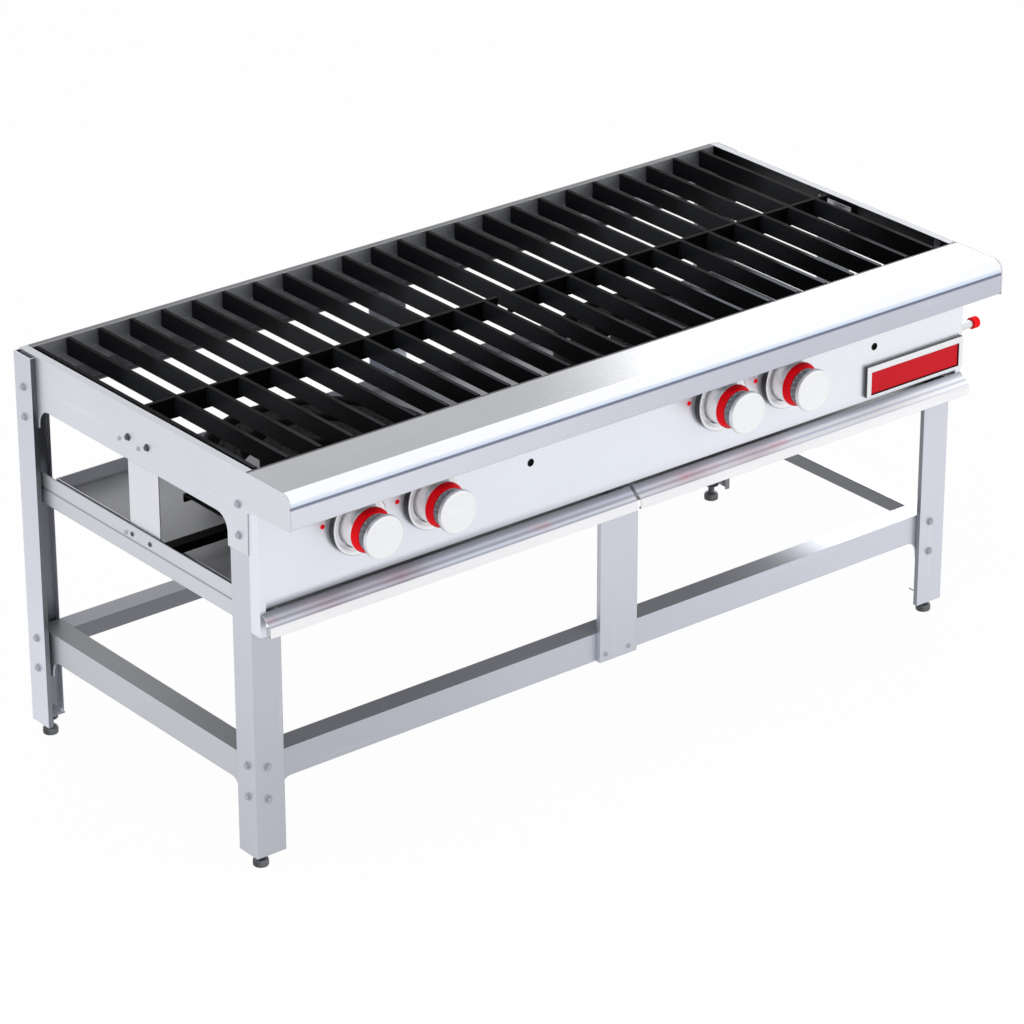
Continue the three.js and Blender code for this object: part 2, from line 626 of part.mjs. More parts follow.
// Both grates are the same casting, the right one moved along.
function addGrates() {
  addMesh("grate_left", grate(), black);
  addMesh("grate_right", grate(), black, [GRATE.apart, 0, 0]);
}

// ---------------------------------------------------------------- drip trays
// A shallow pan whose front wall folds out and down into the pull.
function dripTray() {
  const { inner, outer, pullInner, pullOuter, floor, wall, back, front, lipY, lipTop, lipBottom } = TRAY;
  const [x0, x1] = [-outer, -inner];
  const pan = block(x0, x1, front, back, floor, floor + THIN);
  const walls = [
    block(x0, x0 + THIN, front, back, floor, wall), block(x1 - THIN, x1, front, back, floor, wall),
    block(x0, x1, back - THIN, back, floor, wall),
  ];
  const face = block(x0, x1, front, front + THIN, floor, wall);
  // Outline in (y, z): out along the slope, down the lip, with a small hem.
  const pull = [[front + THIN, wall], [front, wall], [lipY, lipTop], [lipY, lipBottom], [lipY + 5, lipBottom]];
  return join(pan, ...walls, face, extrudeX(folded(pull, THIN), -pullOuter, -pullInner));
}

function addTrays() {
  addPair("drip_tray", dripTray(), steel);
}

// ---------------------------------------------------------------- assembly
addLegs();
addFeet();
addLowerFrame();
addPosts();
addTrayRails();
addPanels();
addBadge();
addControls();
addManifold();
addBurners();
addGrates();
addTrays();

// The origin is on the floor, under the middle of the whole machine's outline.
const rightEnd = MANIFOLD.nippleEnd - INLET_CAP.cover + INLET_CAP.length;
machine.position.set(-(rightEnd - LEG.rearOuter) / 2, -(DEPTH - NOSE.reach) / 2, 0);

export default range;
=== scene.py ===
"""Looks of a low two-section gas stock pot range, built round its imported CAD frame.

Lengths in the code are millimetres in the machine's own axes (X along the front, Y to the back, Z up
from the floor); `at` turns them into metres in the row frame.
"""

from __future__ import annotations

import enum
import logging
import math
from dataclasses import dataclass
from typing import Callable, Sequence, Union

import bmesh
import bpy
import numpy as np
from mathutils import Matrix, Vector

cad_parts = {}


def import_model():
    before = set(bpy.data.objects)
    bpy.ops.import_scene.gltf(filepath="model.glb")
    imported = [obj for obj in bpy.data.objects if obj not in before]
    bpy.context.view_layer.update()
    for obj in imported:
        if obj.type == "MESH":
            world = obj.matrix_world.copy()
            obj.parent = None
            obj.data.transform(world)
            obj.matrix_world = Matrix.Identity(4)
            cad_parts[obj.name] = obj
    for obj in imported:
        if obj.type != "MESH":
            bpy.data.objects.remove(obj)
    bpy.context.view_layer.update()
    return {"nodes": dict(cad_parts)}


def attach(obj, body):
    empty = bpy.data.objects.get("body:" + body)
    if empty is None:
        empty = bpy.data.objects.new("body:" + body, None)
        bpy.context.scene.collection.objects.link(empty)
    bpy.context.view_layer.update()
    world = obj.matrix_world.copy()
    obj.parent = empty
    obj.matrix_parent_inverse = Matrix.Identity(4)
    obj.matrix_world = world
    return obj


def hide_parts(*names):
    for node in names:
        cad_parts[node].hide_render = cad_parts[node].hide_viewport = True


LOG = logging.getLogger("range")
SHIFT = np.array([-26.85, -223.0, 0.0])
SIDES = ("left", "right")
KNOBS = {"left_outer": -485.0, "left_inner": -358.5, "right_outer": 165.0, "right_inner": 291.5}
PANEL_Y = -22.0
KNOB_Z = 497.0
INLET_Y = 11.0
INLET_Z = 462.0

Triple = tuple[float, float, float]
Span = tuple[float, float]
Array = np.ndarray


def at(points: Array) -> Array:
    """Turns machine millimetres into row frame metres; the last axis of points is x, y, z."""
    return (np.asarray(points, float) + SHIFT) / 1000.0


# Shader language
class Signal:
    """A shader socket that Python arithmetic turns into nodes."""

    def __init__(self, web: "Web", socket: bpy.types.NodeSocket | None) -> None:
        """Keeps the node tree and the socket, which is None for a node without outputs."""
        self.web = web
        self.socket = socket

    def __add__(self, other: "Value") -> "Signal":
        """The sum."""
        return self.web.math("ADD", self, other)

    def __sub__(self, other: "Value") -> "Signal":
        """The difference."""
        return self.web.math("SUBTRACT", self, other)

    def __rsub__(self, other: "Value") -> "Signal":
        """The difference from a number, as in 1 - mask."""
        return self.web.math("SUBTRACT", other, self)

    def __mul__(self, other: "Value") -> "Signal":
        """The product."""
        return self.web.math("MULTIPLY", self, other)

    def __truediv__(self, other: "Value") -> "Signal":
        """The quotient."""
        return self.web.math("DIVIDE", self, other)

    __radd__ = __add__
    __rmul__ = __mul__

    def step(self, low: float, high: float) -> "Signal":
        """Goes smoothly from 0 at low to 1 at high, which may lie below low.

        Args:
            low: Where the result is 0.
            high: Where the result is 1.

        Returns:
            The smooth step.
        """
        start, end = (0.0, 1.0) if low < high else (1.0, 0.0)
        inputs = {0: self, 1: min(low, high), 2: max(low, high), 3: start, 4: end}
        return self.web.node("MapRange", {"interpolation_type": "SMOOTHSTEP"}, inputs)

    def sine(self) -> "Signal":
        """The sine of the signal."""
        return self.web.math("SINE", self)

    def between(self, low: float, high: float, soft: float) -> "Signal":
        """Is 1 from low to high and 0 outside, with edges that are 2 soft wide."""
        return self.step(low - soft, low + soft) * self.step(high + soft, high - soft)


Value = Union[Signal, float, int]


class Web:
    """The node tree of one material or world."""

    def __init__(self, tree: bpy.types.NodeTree) -> None:
        """Keeps the tree and clears it."""
        self.tree = tree
        tree.nodes.clear()

    def node(
        self, kind: str, settings: dict[str, object] | None = None,
        inputs: dict[object, object] | None = None, output: int | str = 0,
    ) -> Signal:
        """Adds any shader node.

        Args:
            kind: The node's type without its ShaderNode prefix.
            settings: Properties to set on the node.
            inputs: Socket name or index to a Signal or a constant.
            output: The output to return.

        Returns:
            The chosen output as a Signal.
        """
        made = self.tree.nodes.new(f"ShaderNode{kind}")
        for key, value in (settings or {}).items():
            setattr(made, key, value)
        for key, value in (inputs or {}).items():
            if isinstance(value, Signal):
                self.tree.links.new(value.socket, made.inputs[key])
            else:
                made.inputs[key].default_value = value
        return Signal(self, made.outputs[output] if made.outputs else None)

    def math(self, operation: str, *values: Value) -> Signal:
        """Adds a Math node."""
        return self.node("Math", {"operation": operation}, dict(enumerate(values)))

    def scale(self, colour: object, factor: Signal) -> Signal:
        """Multiplies a colour by a signal."""
        return self.node("VectorMath", {"operation": "SCALE"}, {0: colour, "Scale": factor})

    def place(self) -> Signal:
        """The point in metres in the row frame."""
        return self.node("TexCoord", output="Object")

    def axes(self, vector: Signal) -> tuple[Signal, Signal, Signal]:
        """The three parts of a vector."""
        parts = self.node("SeparateXYZ", None, {0: vector}).socket.node.outputs
        return Signal(self, parts[0]), Signal(self, parts[1]), Signal(self, parts[2])

    def spot(self) -> tuple[Signal, Signal, Signal]:
        """X, Y and Z of the point in metres in the row frame."""
        return self.axes(self.place())

    def facing(self, kind: str = "True Normal") -> tuple[Signal, Signal, Signal]:
        """X, Y and Z of the direction that the surface faces."""
        return self.axes(self.node("NewGeometry", output=kind))

    def noise(
        self, vector: Signal, scale: float, stretch: Triple = (1.0, 1.0, 1.0), detail: float = 3.0,
    ) -> Signal:
        """Fractal noise, from about -0.5 to 0.5, with scale times stretch waves per metre along each axis."""
        spread = self.node("VectorMath", {"operation": "MULTIPLY"}, {0: vector, 1: stretch})
        return self.node("TexNoise", None, {"Vector": spread, "Scale": scale, "Detail": detail}) - 0.5

    def mix(self, factor: Value, a: object, b: object) -> Signal:
        """Blends two colours."""
        first, second = (c if isinstance(c, Signal) else (*c, 1.0) for c in (a, b))
        return self.node("Mix", {"data_type": "RGBA"}, {0: factor, 6: first, 7: second}, 2)

    def bump(self, height: Signal, distance: float, normal: Signal) -> Signal:
        """The normal, tilted by a height field in which 1 stands for a distance in metres."""
        inputs = {"Height": height, "Distance": distance, "Strength": 1.0, "Normal": normal}
        return self.node("Bump", None, inputs)

    def rounded(self, radius: float) -> tuple[Signal, Signal]:
        """Rounds edges off, and finds them.

        Args:
            radius: Radius of the edges in metres.

        Returns:
            The rounded normal, and a signal that is near 1 on the edges.
        """
        soft = self.node("Bevel", {"samples": 6}, {"Radius": radius})
        flat = self.node("NewGeometry", output="Normal")
        turn = self.node("VectorMath", {"operation": "DOT_PRODUCT"}, {0: soft, 1: flat}, 1)
        return soft, (1 - turn).step(0.01, 0.22)

    def shade(
        self, name: str, base: Signal, rough: Signal, normal: Signal, metal: Value, shine: float,
        coat: Span | None = None,
    ) -> None:
        """Ends the tree in one Principled shader.

        Args:
            name: Label of the shader.
            base: Base colour.
            rough: Roughness.
            normal: Surface normal.
            metal: Share of metal.
            shine: Specular level.
            coat: Weight and roughness of a clear coat, if it has one.
        """
        inputs = {"Base Color": base, "Roughness": rough, "Normal": normal, "Metallic": metal,
                  "Specular IOR Level": shine}
        if coat:
            inputs["Coat Weight"], inputs["Coat Roughness"] = coat
        self.node("OutputMaterial", None, {0: self.node("BsdfPrincipled", {"label": name}, inputs)})


# Finishes
# A face looks along an axis, or against it, where that part of its normal runs through these values.
ALONG = (0.5, 0.9)
AGAINST = (-0.5, -0.9)


class Grain(enum.Enum):
    """The direction that a sheet was brushed in."""

    ALONG_X = (0.02, 1.0, 1.0)
    ALONG_Y = (1.0, 0.02, 1.0)
    ALONG_Z = (1.0, 1.0, 0.02)


@dataclass(frozen=True)
class Finish:
    """A surface treatment that becomes one material.

    Attributes:
        name: The material's name.
        tone: Main colour.
        rough: Mean roughness.
    """

    name: str
    tone: Triple = (0.8, 0.8, 0.8)
    rough: float = 0.4

    def material(self) -> bpy.types.Material:
        """The finish as a material, made once.

        Returns:
            The material.
        """
        found = bpy.data.materials.get(self.name)
        if found:
            return found
        made = bpy.data.materials.new(self.name)
        made.use_nodes = True
        self.paint(Web(made.node_tree))
        return made

    def paint(self, web: Web) -> None:
        """Fills the node tree."""
        raise NotImplementedError


@dataclass(frozen=True)
class SheetSteel(Finish):
    """Brushed stainless sheet: grain, cloudy reflections, fine pits, hairline scratches, bright edges, and
    painted light and shade by height, by where each face looks and along X.

    Attributes:
        grain: Brushing direction.
        metal: Share of metal in the shader.
        mottle: Strength of the cloudy variation.
        edge: Radius of the folded edges in metres.
        shade: Painted light and shade by height, a factor on the tone from this at the floor to 1 at the top:
            below 1 it paints shade, above 1 light.
        top: Painted shade on faces that look up, a factor on their tone; above 1 it paints light.
        inner: Painted shade on faces that look to the middle plane, a factor on their tone.
        front: Painted shade on faces that look forwards, a factor on their tone, a little weaker near the
            floor.
        fade: Where along X the painted shade on tops turns into a painted highlight, in metres.
        lean: Painted light, a gain in tone for each metre to the right.
    """

    grain: Grain = Grain.ALONG_X
    metal: float = 0.85
    mottle: float = 0.05
    edge: float = 0.0016
    shade: float = 1.0
    top: float = 1.0
    inner: float = 1.0
    front: float = 1.0
    fade: Span | None = None
    lean: float = 0.0

    # Height span of the painted shade, faces that look to the middle, and the share of metal on tops with
    # painted shade.
    FULL_HEIGHT = (-0.05, 0.62)
    TO_MIDDLE = (-0.25, -0.45)
    DULL_METAL = 0.3

    def tint(self, web: Web, value: Signal) -> Signal:
        """The base colour for a brightness."""
        return web.scale(self.tone, value)

    def facing_light(self, web: Web) -> Signal:
        """Painted light and shade: a factor on the tone that depends on where the face looks and how far to
        the right it is.

        Args:
            web: The material's node tree.

        Returns:
            The factor, 1 for a plain face.
        """
        side, depth, up = web.facing()
        across, _, high = web.spot()
        loss: Value = 1 - self.top
        if self.fade:
            loss = across.step(*self.fade) * -1.5 * (1 - self.top) + (1 - self.top)
        tone = 1 - up.step(*ALONG) * loss
        if self.front < 1.0:
            less = (1 - self.front) * (1 - high.step(0.6, 0.0) * 0.2)
            tone = tone * (1 - depth.step(*AGAINST) * less)
        tone = tone * (1.0 + across * self.lean)
        return tone * (1 - (side * across).step(*self.TO_MIDDLE) * (1 - self.inner))

    def metalness(self, web: Web) -> Value:
        """The share of metal, lower on tops with painted shade.

        Args:
            web: The material's node tree.

        Returns:
            A number, or a signal where some tops have less metal.
        """
        if self.top >= 1.0:
            return self.metal
        up = web.facing()[2].step(*ALONG)
        if self.fade:
            up = up * web.spot()[0].step(self.fade[1], self.fade[0])
        return self.metal - up * (self.metal - self.DULL_METAL)

    def paint(self, web: Web) -> None:
        """Fills the node tree.

        Args:
            web: The material's node tree.
        """
        place = web.place()
        grain = web.noise(place, 900.0, self.grain.value, 4.0)
        fine = web.noise(place, 2600.0, self.grain.value, 1.0)
        cloud = web.noise(place, 7.0, detail=4.0)
        pits = web.noise(place, 420.0, detail=2.0).step(0.16, 0.3)
        scratch = web.noise(place, 160.0, self.grain.value, 1.0).step(0.2, 0.26)
        normal, edge = web.rounded(self.edge)
        height = web.axes(place)[2].step(*self.FULL_HEIGHT)
        value = 1.0 + grain * 0.07 + cloud * (self.mottle * 2.0) - pits * 0.07 + scratch * 0.05 + edge * 0.12
        # Painted light and shade by height and by where the face looks.
        value = value * (self.shade + height * (1 - self.shade)) * self.facing_light(web)
        rough = self.rough + grain * 0.10 + cloud * 0.16 + pits * 0.08 - edge * 0.08
        surface = web.bump(grain * 0.6 + fine * 0.4 - pits * 0.8, 0.00006, normal)
        web.shade(self.name, self.tint(web, value), rough, surface, self.metalness(web), 0.5)


@dataclass(frozen=True)
class TraySteel(SheetSteel):
    """Tray sheet, with painted light and shade on the slope and lip of its pull and painted shade on its
    floor.

    A span in metres goes from where a look starts to where it's full, here and in the next classes.
    """

    FLOOR_Z = (0.392, 0.386)
    SLOPE_Y = (-0.2462, -0.2478)
    SLOPE_Z = (0.3940, 0.4100)
    LIP_Y = (-0.2655, -0.2665)
    LIP_Z = (0.3950, 0.3938)
    PULL_TOP = 0.409
    PULL_DROP = 0.015
    RIB_PITCH = 0.0054
    RIB_PHASE = 4.1
    FLOOR_METAL = 0.25
    SHADED_FLOOR = (0.25, 0.255, 0.27)
    PULL_TONE = (0.86, 0.89, 1.0)
    KNOB_REFLECTION = (1.0, 0.55, 0.60)
    LIP_HIGHLIGHT = (0.98, 0.98, 1.0)

    def metalness(self, web: Web) -> Value:
        """The share of metal, low on the floor with painted shade."""
        return self.metal - web.spot()[2].step(*self.FLOOR_Z) * (self.metal - self.FLOOR_METAL)

    def tint(self, web: Web, value: Signal) -> Signal:
        """The base colour for a brightness.

        Args:
            web: The material's node tree.
            value: The brightness, about 1.

        Returns:
            The colour.
        """
        place = web.place()
        across, depth, up = web.axes(place)
        slope = depth.step(*self.SLOPE_Y) * up.between(*self.SLOPE_Z, 0.0005)
        lip = depth.step(*self.LIP_Y) * up.step(*self.LIP_Z)
        # Painted light on the pull: painted shade just under the panel that lifts down the slope, its ribs
        # painted in light and shade, more light to the right, a painted reflection of the red knobs, and a
        # painted highlight on its lip.
        down = (self.PULL_TOP - up) / self.PULL_DROP
        ribs = (up * (2.0 * math.pi / self.RIB_PITCH) + self.RIB_PHASE).sine()
        glow = web.noise(place, 13.0, (1.0, 0.1, 0.1), 3.0).step(0.03, 0.18) * down.between(0.35, 0.75, 0.15)
        bright = 0.22 + down.step(0.0, 0.3) * 0.36 + down * 0.30 + ribs * (0.05 + down * 0.22)
        bright = bright * (1.0 + across.step(-0.18, 0.12) * 0.42)
        pull = web.scale(web.mix(glow * 0.55, self.PULL_TONE, self.KNOB_REFLECTION), bright)
        # Blotchy painted shade on the floor under the grates.
        base = up.step(*self.FLOOR_Z)
        floor_shade = web.noise(place, 5.0, detail=5.0).step(0.0, 0.25) * 0.15 + 0.80
        sheet = web.mix(floor_shade * base, self.tone, self.SHADED_FLOOR)
        return web.scale(web.mix(lip, web.mix(slope, sheet, pull), self.LIP_HIGHLIGHT), value)


@dataclass(frozen=True)
class LedgeSteel(SheetSteel):
    """Ledge sheet with painted light: a top going from painted shade at the left to a painted reflection at
    the right, a painted highlight and pale blue painted reflection on its rounded nose, painted light
    changing along its front strip, and painted shade along its crease and on the shelf inside.
    """

    TOP_Z = (0.6085, 0.6096)
    TOP_Y = (-0.3080, -0.3050)
    NOSE_Z = (0.5925, 0.5935)
    CURL_Z = (0.6010, 0.5945)
    CREASE_Z = (0.5882, 0.5930)
    CREASE_Y = (-0.3170, -0.3180)
    INSIDE_Y = (-0.2270, -0.2258)
    CREASE_SHADE = (0.16, 0.18, 0.27)
    SHADED_INSIDE = (0.05, 0.05, 0.055)

    def tint(self, web: Web, value: Signal) -> Signal:
        """The base colour for a brightness.

        Args:
            web: The material's node tree.
            value: The brightness, about 1.

        Returns:
            The colour.
        """
        across, depth, up = web.spot()
        top = up.step(*self.TOP_Z) * depth.step(*self.TOP_Y)
        nose = up.step(*self.NOSE_Z) * (1 - top)
        line = up.between(*self.CREASE_Z, 0.0008) * depth.step(*self.CREASE_Y)
        # Painted light: the top goes from painted shade at the left to a painted reflection at the right, the
        # front strip's tone changes along X, and the nose has a painted highlight above a pale blue painted
        # reflection.
        flat = web.mix(across.step(-0.24, 0.09), (0.42, 0.43, 0.455), (0.86, 0.87, 0.90))
        strip = web.mix(across.step(-0.65, 0.25), (0.78, 0.80, 0.87), self.tone)
        nose_light = web.mix(up.step(*self.CURL_Z), (0.97, 0.98, 1.0), (0.74, 0.85, 1.0))
        shown = web.mix(nose, web.mix(top, strip, flat), nose_light)
        # Painted shade along the crease and on the shelf inside.
        shown = web.mix(line * 0.8, shown, self.CREASE_SHADE)
        return web.scale(web.mix(depth.step(*self.INSIDE_Y), shown, self.SHADED_INSIDE), value)


@dataclass(frozen=True)
class PanelSteel(SheetSteel):
    """Panel sheet with painted shade round the bend at its lower edge, darkest at the left."""

    BEND_Z = (0.4265, 0.4120)
    EARS_X = (-0.6640, 0.6103)
    BEND_METAL = 0.1

    def bend(self, web: Web) -> Signal:
        """Is 1 on the bend between the two end ears."""
        across, _, up = web.spot()
        return up.step(*self.BEND_Z) * across.between(*self.EARS_X, 0.001)

    def metalness(self, web: Web) -> Value:
        """The share of metal, low on the bend."""
        return self.metal - self.bend(web) * (self.metal - self.BEND_METAL)

    def tint(self, web: Web, value: Signal) -> Signal:
        """The base colour for a brightness."""
        # Painted shade on the bend, darkest at the left.
        bend_shade = web.mix(web.spot()[0].step(-0.70, 0.20), (0.25, 0.26, 0.30), (0.88, 0.89, 0.94))
        return web.scale(web.mix(self.bend(web), self.tone, bend_shade), value)


@dataclass(frozen=True)
class RailSteel(SheetSteel):
    """Side rail sheet with a line of painted shade along its crease."""

    CREASE_Z = (0.4026, 0.4056)
    CREASE_SHADE = (0.20, 0.21, 0.23)

    def tint(self, web: Web, value: Signal) -> Signal:
        """The base colour for a brightness."""
        # A line of painted shade along the crease.
        line = web.spot()[2].between(*self.CREASE_Z, 0.0006)
        return web.scale(web.mix(line * 0.6, self.tone, self.CREASE_SHADE), value)


@dataclass(frozen=True)
class BlackBar(Finish):
    """Black stoved enamel on flat bar: orange peel and faint scuffs on its edges, with painted shade on the
    bars' sides, tops and front faces and painted highlights on the tops near the front.
    """

    shine: float = 0.3

    def side_shade(self, across: Signal, depth: Signal) -> Signal:
        """The painted shade on the bars' sides, darkest at the front and rear ends.

        Args:
            across: X of the point in metres.
            depth: Y of the point in metres.

        Returns:
            The factor on the tone.
        """
        side_shade = 0.12 + depth.step(-0.15, -0.05) * 0.36 + depth.step(0.03, 0.07) * 0.2
        side_shade = side_shade - depth.step(0.14, 0.18) * 0.45
        return side_shade * (1 - across.step(0.1, 0.7) * depth.step(0.0, -0.12) * 0.5)

    def paint(self, web: Web) -> None:
        """Fills the node tree.

        Args:
            web: The material's node tree.
        """
        place = web.place()
        peel = web.noise(place, 320.0, detail=2.0)
        cloud = web.noise(place, 9.0, detail=4.0)
        scuff = web.noise(place, 60.0, (1.0, 0.3, 1.0), 4.0).step(0.05, 0.2)
        normal, edge = web.rounded(0.0009)
        _, front, up = web.facing("Normal")
        up = up.step(0.6, 0.9)
        across, depth, _ = web.axes(place)
        worn = web.mix(edge * scuff * 0.22, self.tone, (0.10, 0.10, 0.11))
        # Painted light: highlights on the tops near the front, most from 0.12 to 0.50 along X, and shade on
        # the sides, the tops and the front faces.
        top_highlight = up * depth.step(-0.10, -0.15) * (0.6 + across.between(0.12, 0.50, 0.10) * 3.6)
        tone = self.side_shade(across, depth) * (1 - up * 0.85) + top_highlight
        tone = tone * (1.0 + cloud * 0.7 + peel * 0.3) * (1 - front.step(*AGAINST) * 0.85)
        rough = self.rough + cloud * 0.18 + peel * 0.10 + up * 0.12
        web.shade(self.name, web.scale(worn, tone), rough, web.bump(peel, 0.00012, normal), 0.0, self.shine)


@dataclass(frozen=True)
class CastIron(Finish):
    """Sand-cast iron with a pitted skin and heat tint."""

    metal: float = 0.2

    def paint(self, web: Web) -> None:
        """Fills the node tree.

        Args:
            web: The material's node tree.
        """
        place = web.place()
        sand = web.noise(place, 900.0, detail=5.0)
        lumps = web.noise(place, 130.0, detail=3.0)
        heat = web.noise(place, 11.0, detail=3.0).step(0.0, 0.3)
        normal, edge = web.rounded(0.002)
        tone = web.mix(heat * 0.35, self.tone, (0.060, 0.036, 0.024))
        base = web.scale(tone, 1.0 + sand * 0.8 + edge * 0.7)
        rough = self.rough + sand * 0.2 - edge * 0.15
        web.shade(self.name, base, rough, web.bump(sand * 0.5 + lumps, 0.0004, normal), self.metal, 0.25)


@dataclass(frozen=True)
class TurnedMetal(Finish):
    """Metal or plastic turned on an axis, with tool marks that run round it on the piece's own UV map.

    Attributes:
        coat: Clear coat weight.
        marks: Strength of the tool marks.
        wear: Colour of worn edges.
        wall: Painted shade on walls that look left, a factor on their tone.
        roof: Painted shade on walls that look straight up or down, a factor on their tone.
    """

    metal: float = 0.9
    coat: float = 0.0
    marks: float = 1.0
    edge: float = 0.0006
    wear: Triple = (0.9, 0.9, 0.92)
    wall: float = 1.0
    shine: float = 0.5
    roof: float = 1.0

    def paint(self, web: Web) -> None:
        """Fills the node tree.

        Args:
            web: The material's node tree.
        """
        turn = web.node("UVMap", {"uv_map": "turn"})
        place = web.place()
        tool = web.noise(turn, 1.0, (3.0, 260.0, 1.0), 3.0)
        cloud = web.noise(place, 60.0, detail=3.0)
        speck = web.noise(place, 700.0, detail=2.0).step(0.15, 0.3)
        normal, edge = web.rounded(self.edge)
        worn = web.mix(edge * 0.35, self.tone, self.wear)
        # Painted shade on walls that look left, up or down.
        side, _, up = web.facing("Normal")
        steep = up.step(0.70, 0.92) + up.step(-0.60, -0.90)
        dim = (1 - side.step(-0.45, -0.9) * (1 - self.wall)) * (1 - steep * (1 - self.roof))
        base = web.scale(worn, (1.0 + tool * (0.10 * self.marks) + cloud * 0.08 - speck * 0.06) * dim)
        rough = self.rough + tool * (0.12 * self.marks) + cloud * 0.10 + speck * 0.06
        surface = web.bump(tool * self.marks + speck * 0.3, 0.00005, normal)
        web.shade(self.name, base, rough, surface, self.metal, self.shine, (self.coat, 0.12))


@dataclass(frozen=True)
class PlainMetal(Finish):
    """Small metal or painted parts: mottled, speckled, with bright edges.

    Attributes:
        speckle: Strength of the specks.
        dim: Painted shade on faces that look up or left, a factor on their tone.
    """

    metal: float = 0.9
    coat: float = 0.0
    edge: float = 0.0008
    wear: Triple = (0.8, 0.8, 0.8)
    speckle: float = 0.06
    dim: float = 1.0

    def paint(self, web: Web) -> None:
        """Fills the node tree.

        Args:
            web: The material's node tree.
        """
        place = web.place()
        side, _, up = web.facing()
        loss = 1 - self.dim
        # Painted shade on faces that look up or left.
        dim = (1 - up.step(*ALONG) * loss) * (1 - side.step(*AGAINST) * loss)
        cloud = web.noise(place, 40.0, detail=4.0)
        speck = web.noise(place, 800.0, detail=2.0)
        normal, edge = web.rounded(self.edge)
        worn = web.mix(edge * 0.4, self.tone, self.wear)
        base = web.scale(worn, (1.0 + cloud * 0.14 + speck * self.speckle) * dim)
        rough = self.rough + cloud * 0.14 + speck * 0.08 - edge * 0.06
        web.shade(self.name, base, rough, web.bump(speck, 0.00004, normal), self.metal, 0.2, (self.coat, 0.1))


@dataclass(frozen=True)
class StudioFloor(Finish):
    """A floor that is nearly plain white (glow) to the camera, and half so to mirrors."""

    glow: float = 0.97
    mirrored: float = 0.55

    def paint(self, web: Web) -> None:
        """Fills the node tree.

        Args:
            web: The material's node tree.
        """
        cloud = web.noise(web.place(), 1.5, detail=3.0)
        base = web.scale(self.tone, 1.0 + cloud * 0.01)
        matt = web.node("BsdfDiffuse", None, {"Color": base, "Roughness": 0.5})
        lit = web.node("Emission", None, {"Color": (1.0, 1.0, 1.0, 1.0), "Strength": 1.0})
        direct = web.node("LightPath", output="Is Camera Ray")
        mirror = web.node("LightPath", output="Is Glossy Ray")
        share = direct * self.glow + mirror * self.mirrored
        web.node("OutputMaterial", None, {0: web.node("MixShader", None, {0: share, 1: matt, 2: lit})})


# The leg, apron, side, rail, post and strap steels are lit and shaded copies of one brushed steel: their
# differing tones and factors are painted light and shade.
LEG = SheetSteel("leg steel", (0.74, 0.76, 0.84), 0.42, Grain.ALONG_Z, inner=0.42)
LEG_NEAR = SheetSteel("near leg steel", (0.69, 0.71, 0.775), 0.42, Grain.ALONG_Z, shade=0.88, inner=0.42,
                      front=0.9)
LEG_FAR = SheetSteel("far leg steel", (0.69, 0.71, 0.78), 0.42, Grain.ALONG_Z, shade=1.18, inner=0.44,
                     front=0.17)
APRON = SheetSteel("apron steel", (0.77, 0.79, 0.845), 0.42, mottle=0.06, top=0.20, front=0.80)
SIDE = SheetSteel("side steel", (0.77, 0.79, 0.845), 0.42, Grain.ALONG_Y, mottle=0.06, top=0.76, inner=0.06)
RAIL_X = SheetSteel("rail steel", (0.63, 0.65, 0.72), 0.38, top=0.42, fade=(0.27, 0.43), lean=0.28)
RAIL_BACK = SheetSteel("back rail steel", (0.65, 0.67, 0.74), 0.38, top=0.5, front=0.24)
RAIL_Y = RailSteel("side rail steel", (0.73, 0.75, 0.80), 0.40, Grain.ALONG_Y, shade=0.80, top=0.40,
                   inner=0.5)
RAIL_FAR = SheetSteel("far rail steel", (0.66, 0.68, 0.73), 0.40, Grain.ALONG_Y, top=1.45, inner=0.38)
POST = SheetSteel("post steel", (0.77, 0.79, 0.87), 0.42, Grain.ALONG_Z, shade=0.80)
STRAP = SheetSteel("strap steel", (0.83, 0.84, 0.88), 0.42, Grain.ALONG_Z)
NOSE = LedgeSteel("ledge steel", (0.60, 0.62, 0.70), 0.26, edge=0.0008)
PANEL = PanelSteel("panel steel", (0.90, 0.93, 1.0), 0.34, mottle=0.03, lean=0.05)
TRAY = TraySteel("tray steel", (0.78, 0.79, 0.84), 0.40, edge=0.0008, inner=0.35)
GRATE = BlackBar("grate black", (0.029, 0.031, 0.037), 0.42, 0.05)
SUPPORT = BlackBar("support black", (0.008, 0.008, 0.009), 0.5, 0.05)
IRON = CastIron("burner iron", (0.014, 0.014, 0.016), 0.78)
PORT = CastIron("burner port iron", (0.008, 0.008, 0.009), 0.8, 0.0)
PIPE = CastIron("manifold iron", (0.05, 0.05, 0.055), 0.6, 0.5)
BRASS = PlainMetal("valve brass", (0.30, 0.22, 0.10), 0.42, wear=(0.8, 0.65, 0.35))
SILVER = TurnedMetal("knob silver", (0.97, 0.98, 1.0), 0.42, wall=0.92)
GRIP = TurnedMetal("knob grip", (0.42, 0.44, 0.47), 0.38, 0.7, wall=0.55)
SKIRT = TurnedMetal("skirt silver", (0.99, 0.99, 1.0), 0.34, 0.6, roof=0.55)
BEZEL = TurnedMetal("bezel silver", (0.94, 0.95, 0.98), 0.26, wall=0.06, roof=0.30)
RED = TurnedMetal("knob red", (1.0, 0.002, 0.010), 0.38, 0.0, 0.04, 0.4, wear=(0.8, 0.02, 0.03), shine=0.1,
                  roof=0.5)
CAP = TurnedMetal("cap red", (1.0, 0.010, 0.014), 0.5, 0.0, 0.0, 0.6, wear=(1.0, 0.05, 0.05), shine=0.05)
ZINC = TurnedMetal("foot zinc", (0.17, 0.175, 0.19), 0.40, 0.8, wear=(0.5, 0.5, 0.52), wall=0.5)
NIPPLE = TurnedMetal("nipple zinc", (0.80, 0.83, 0.84), 0.34, 0.8)
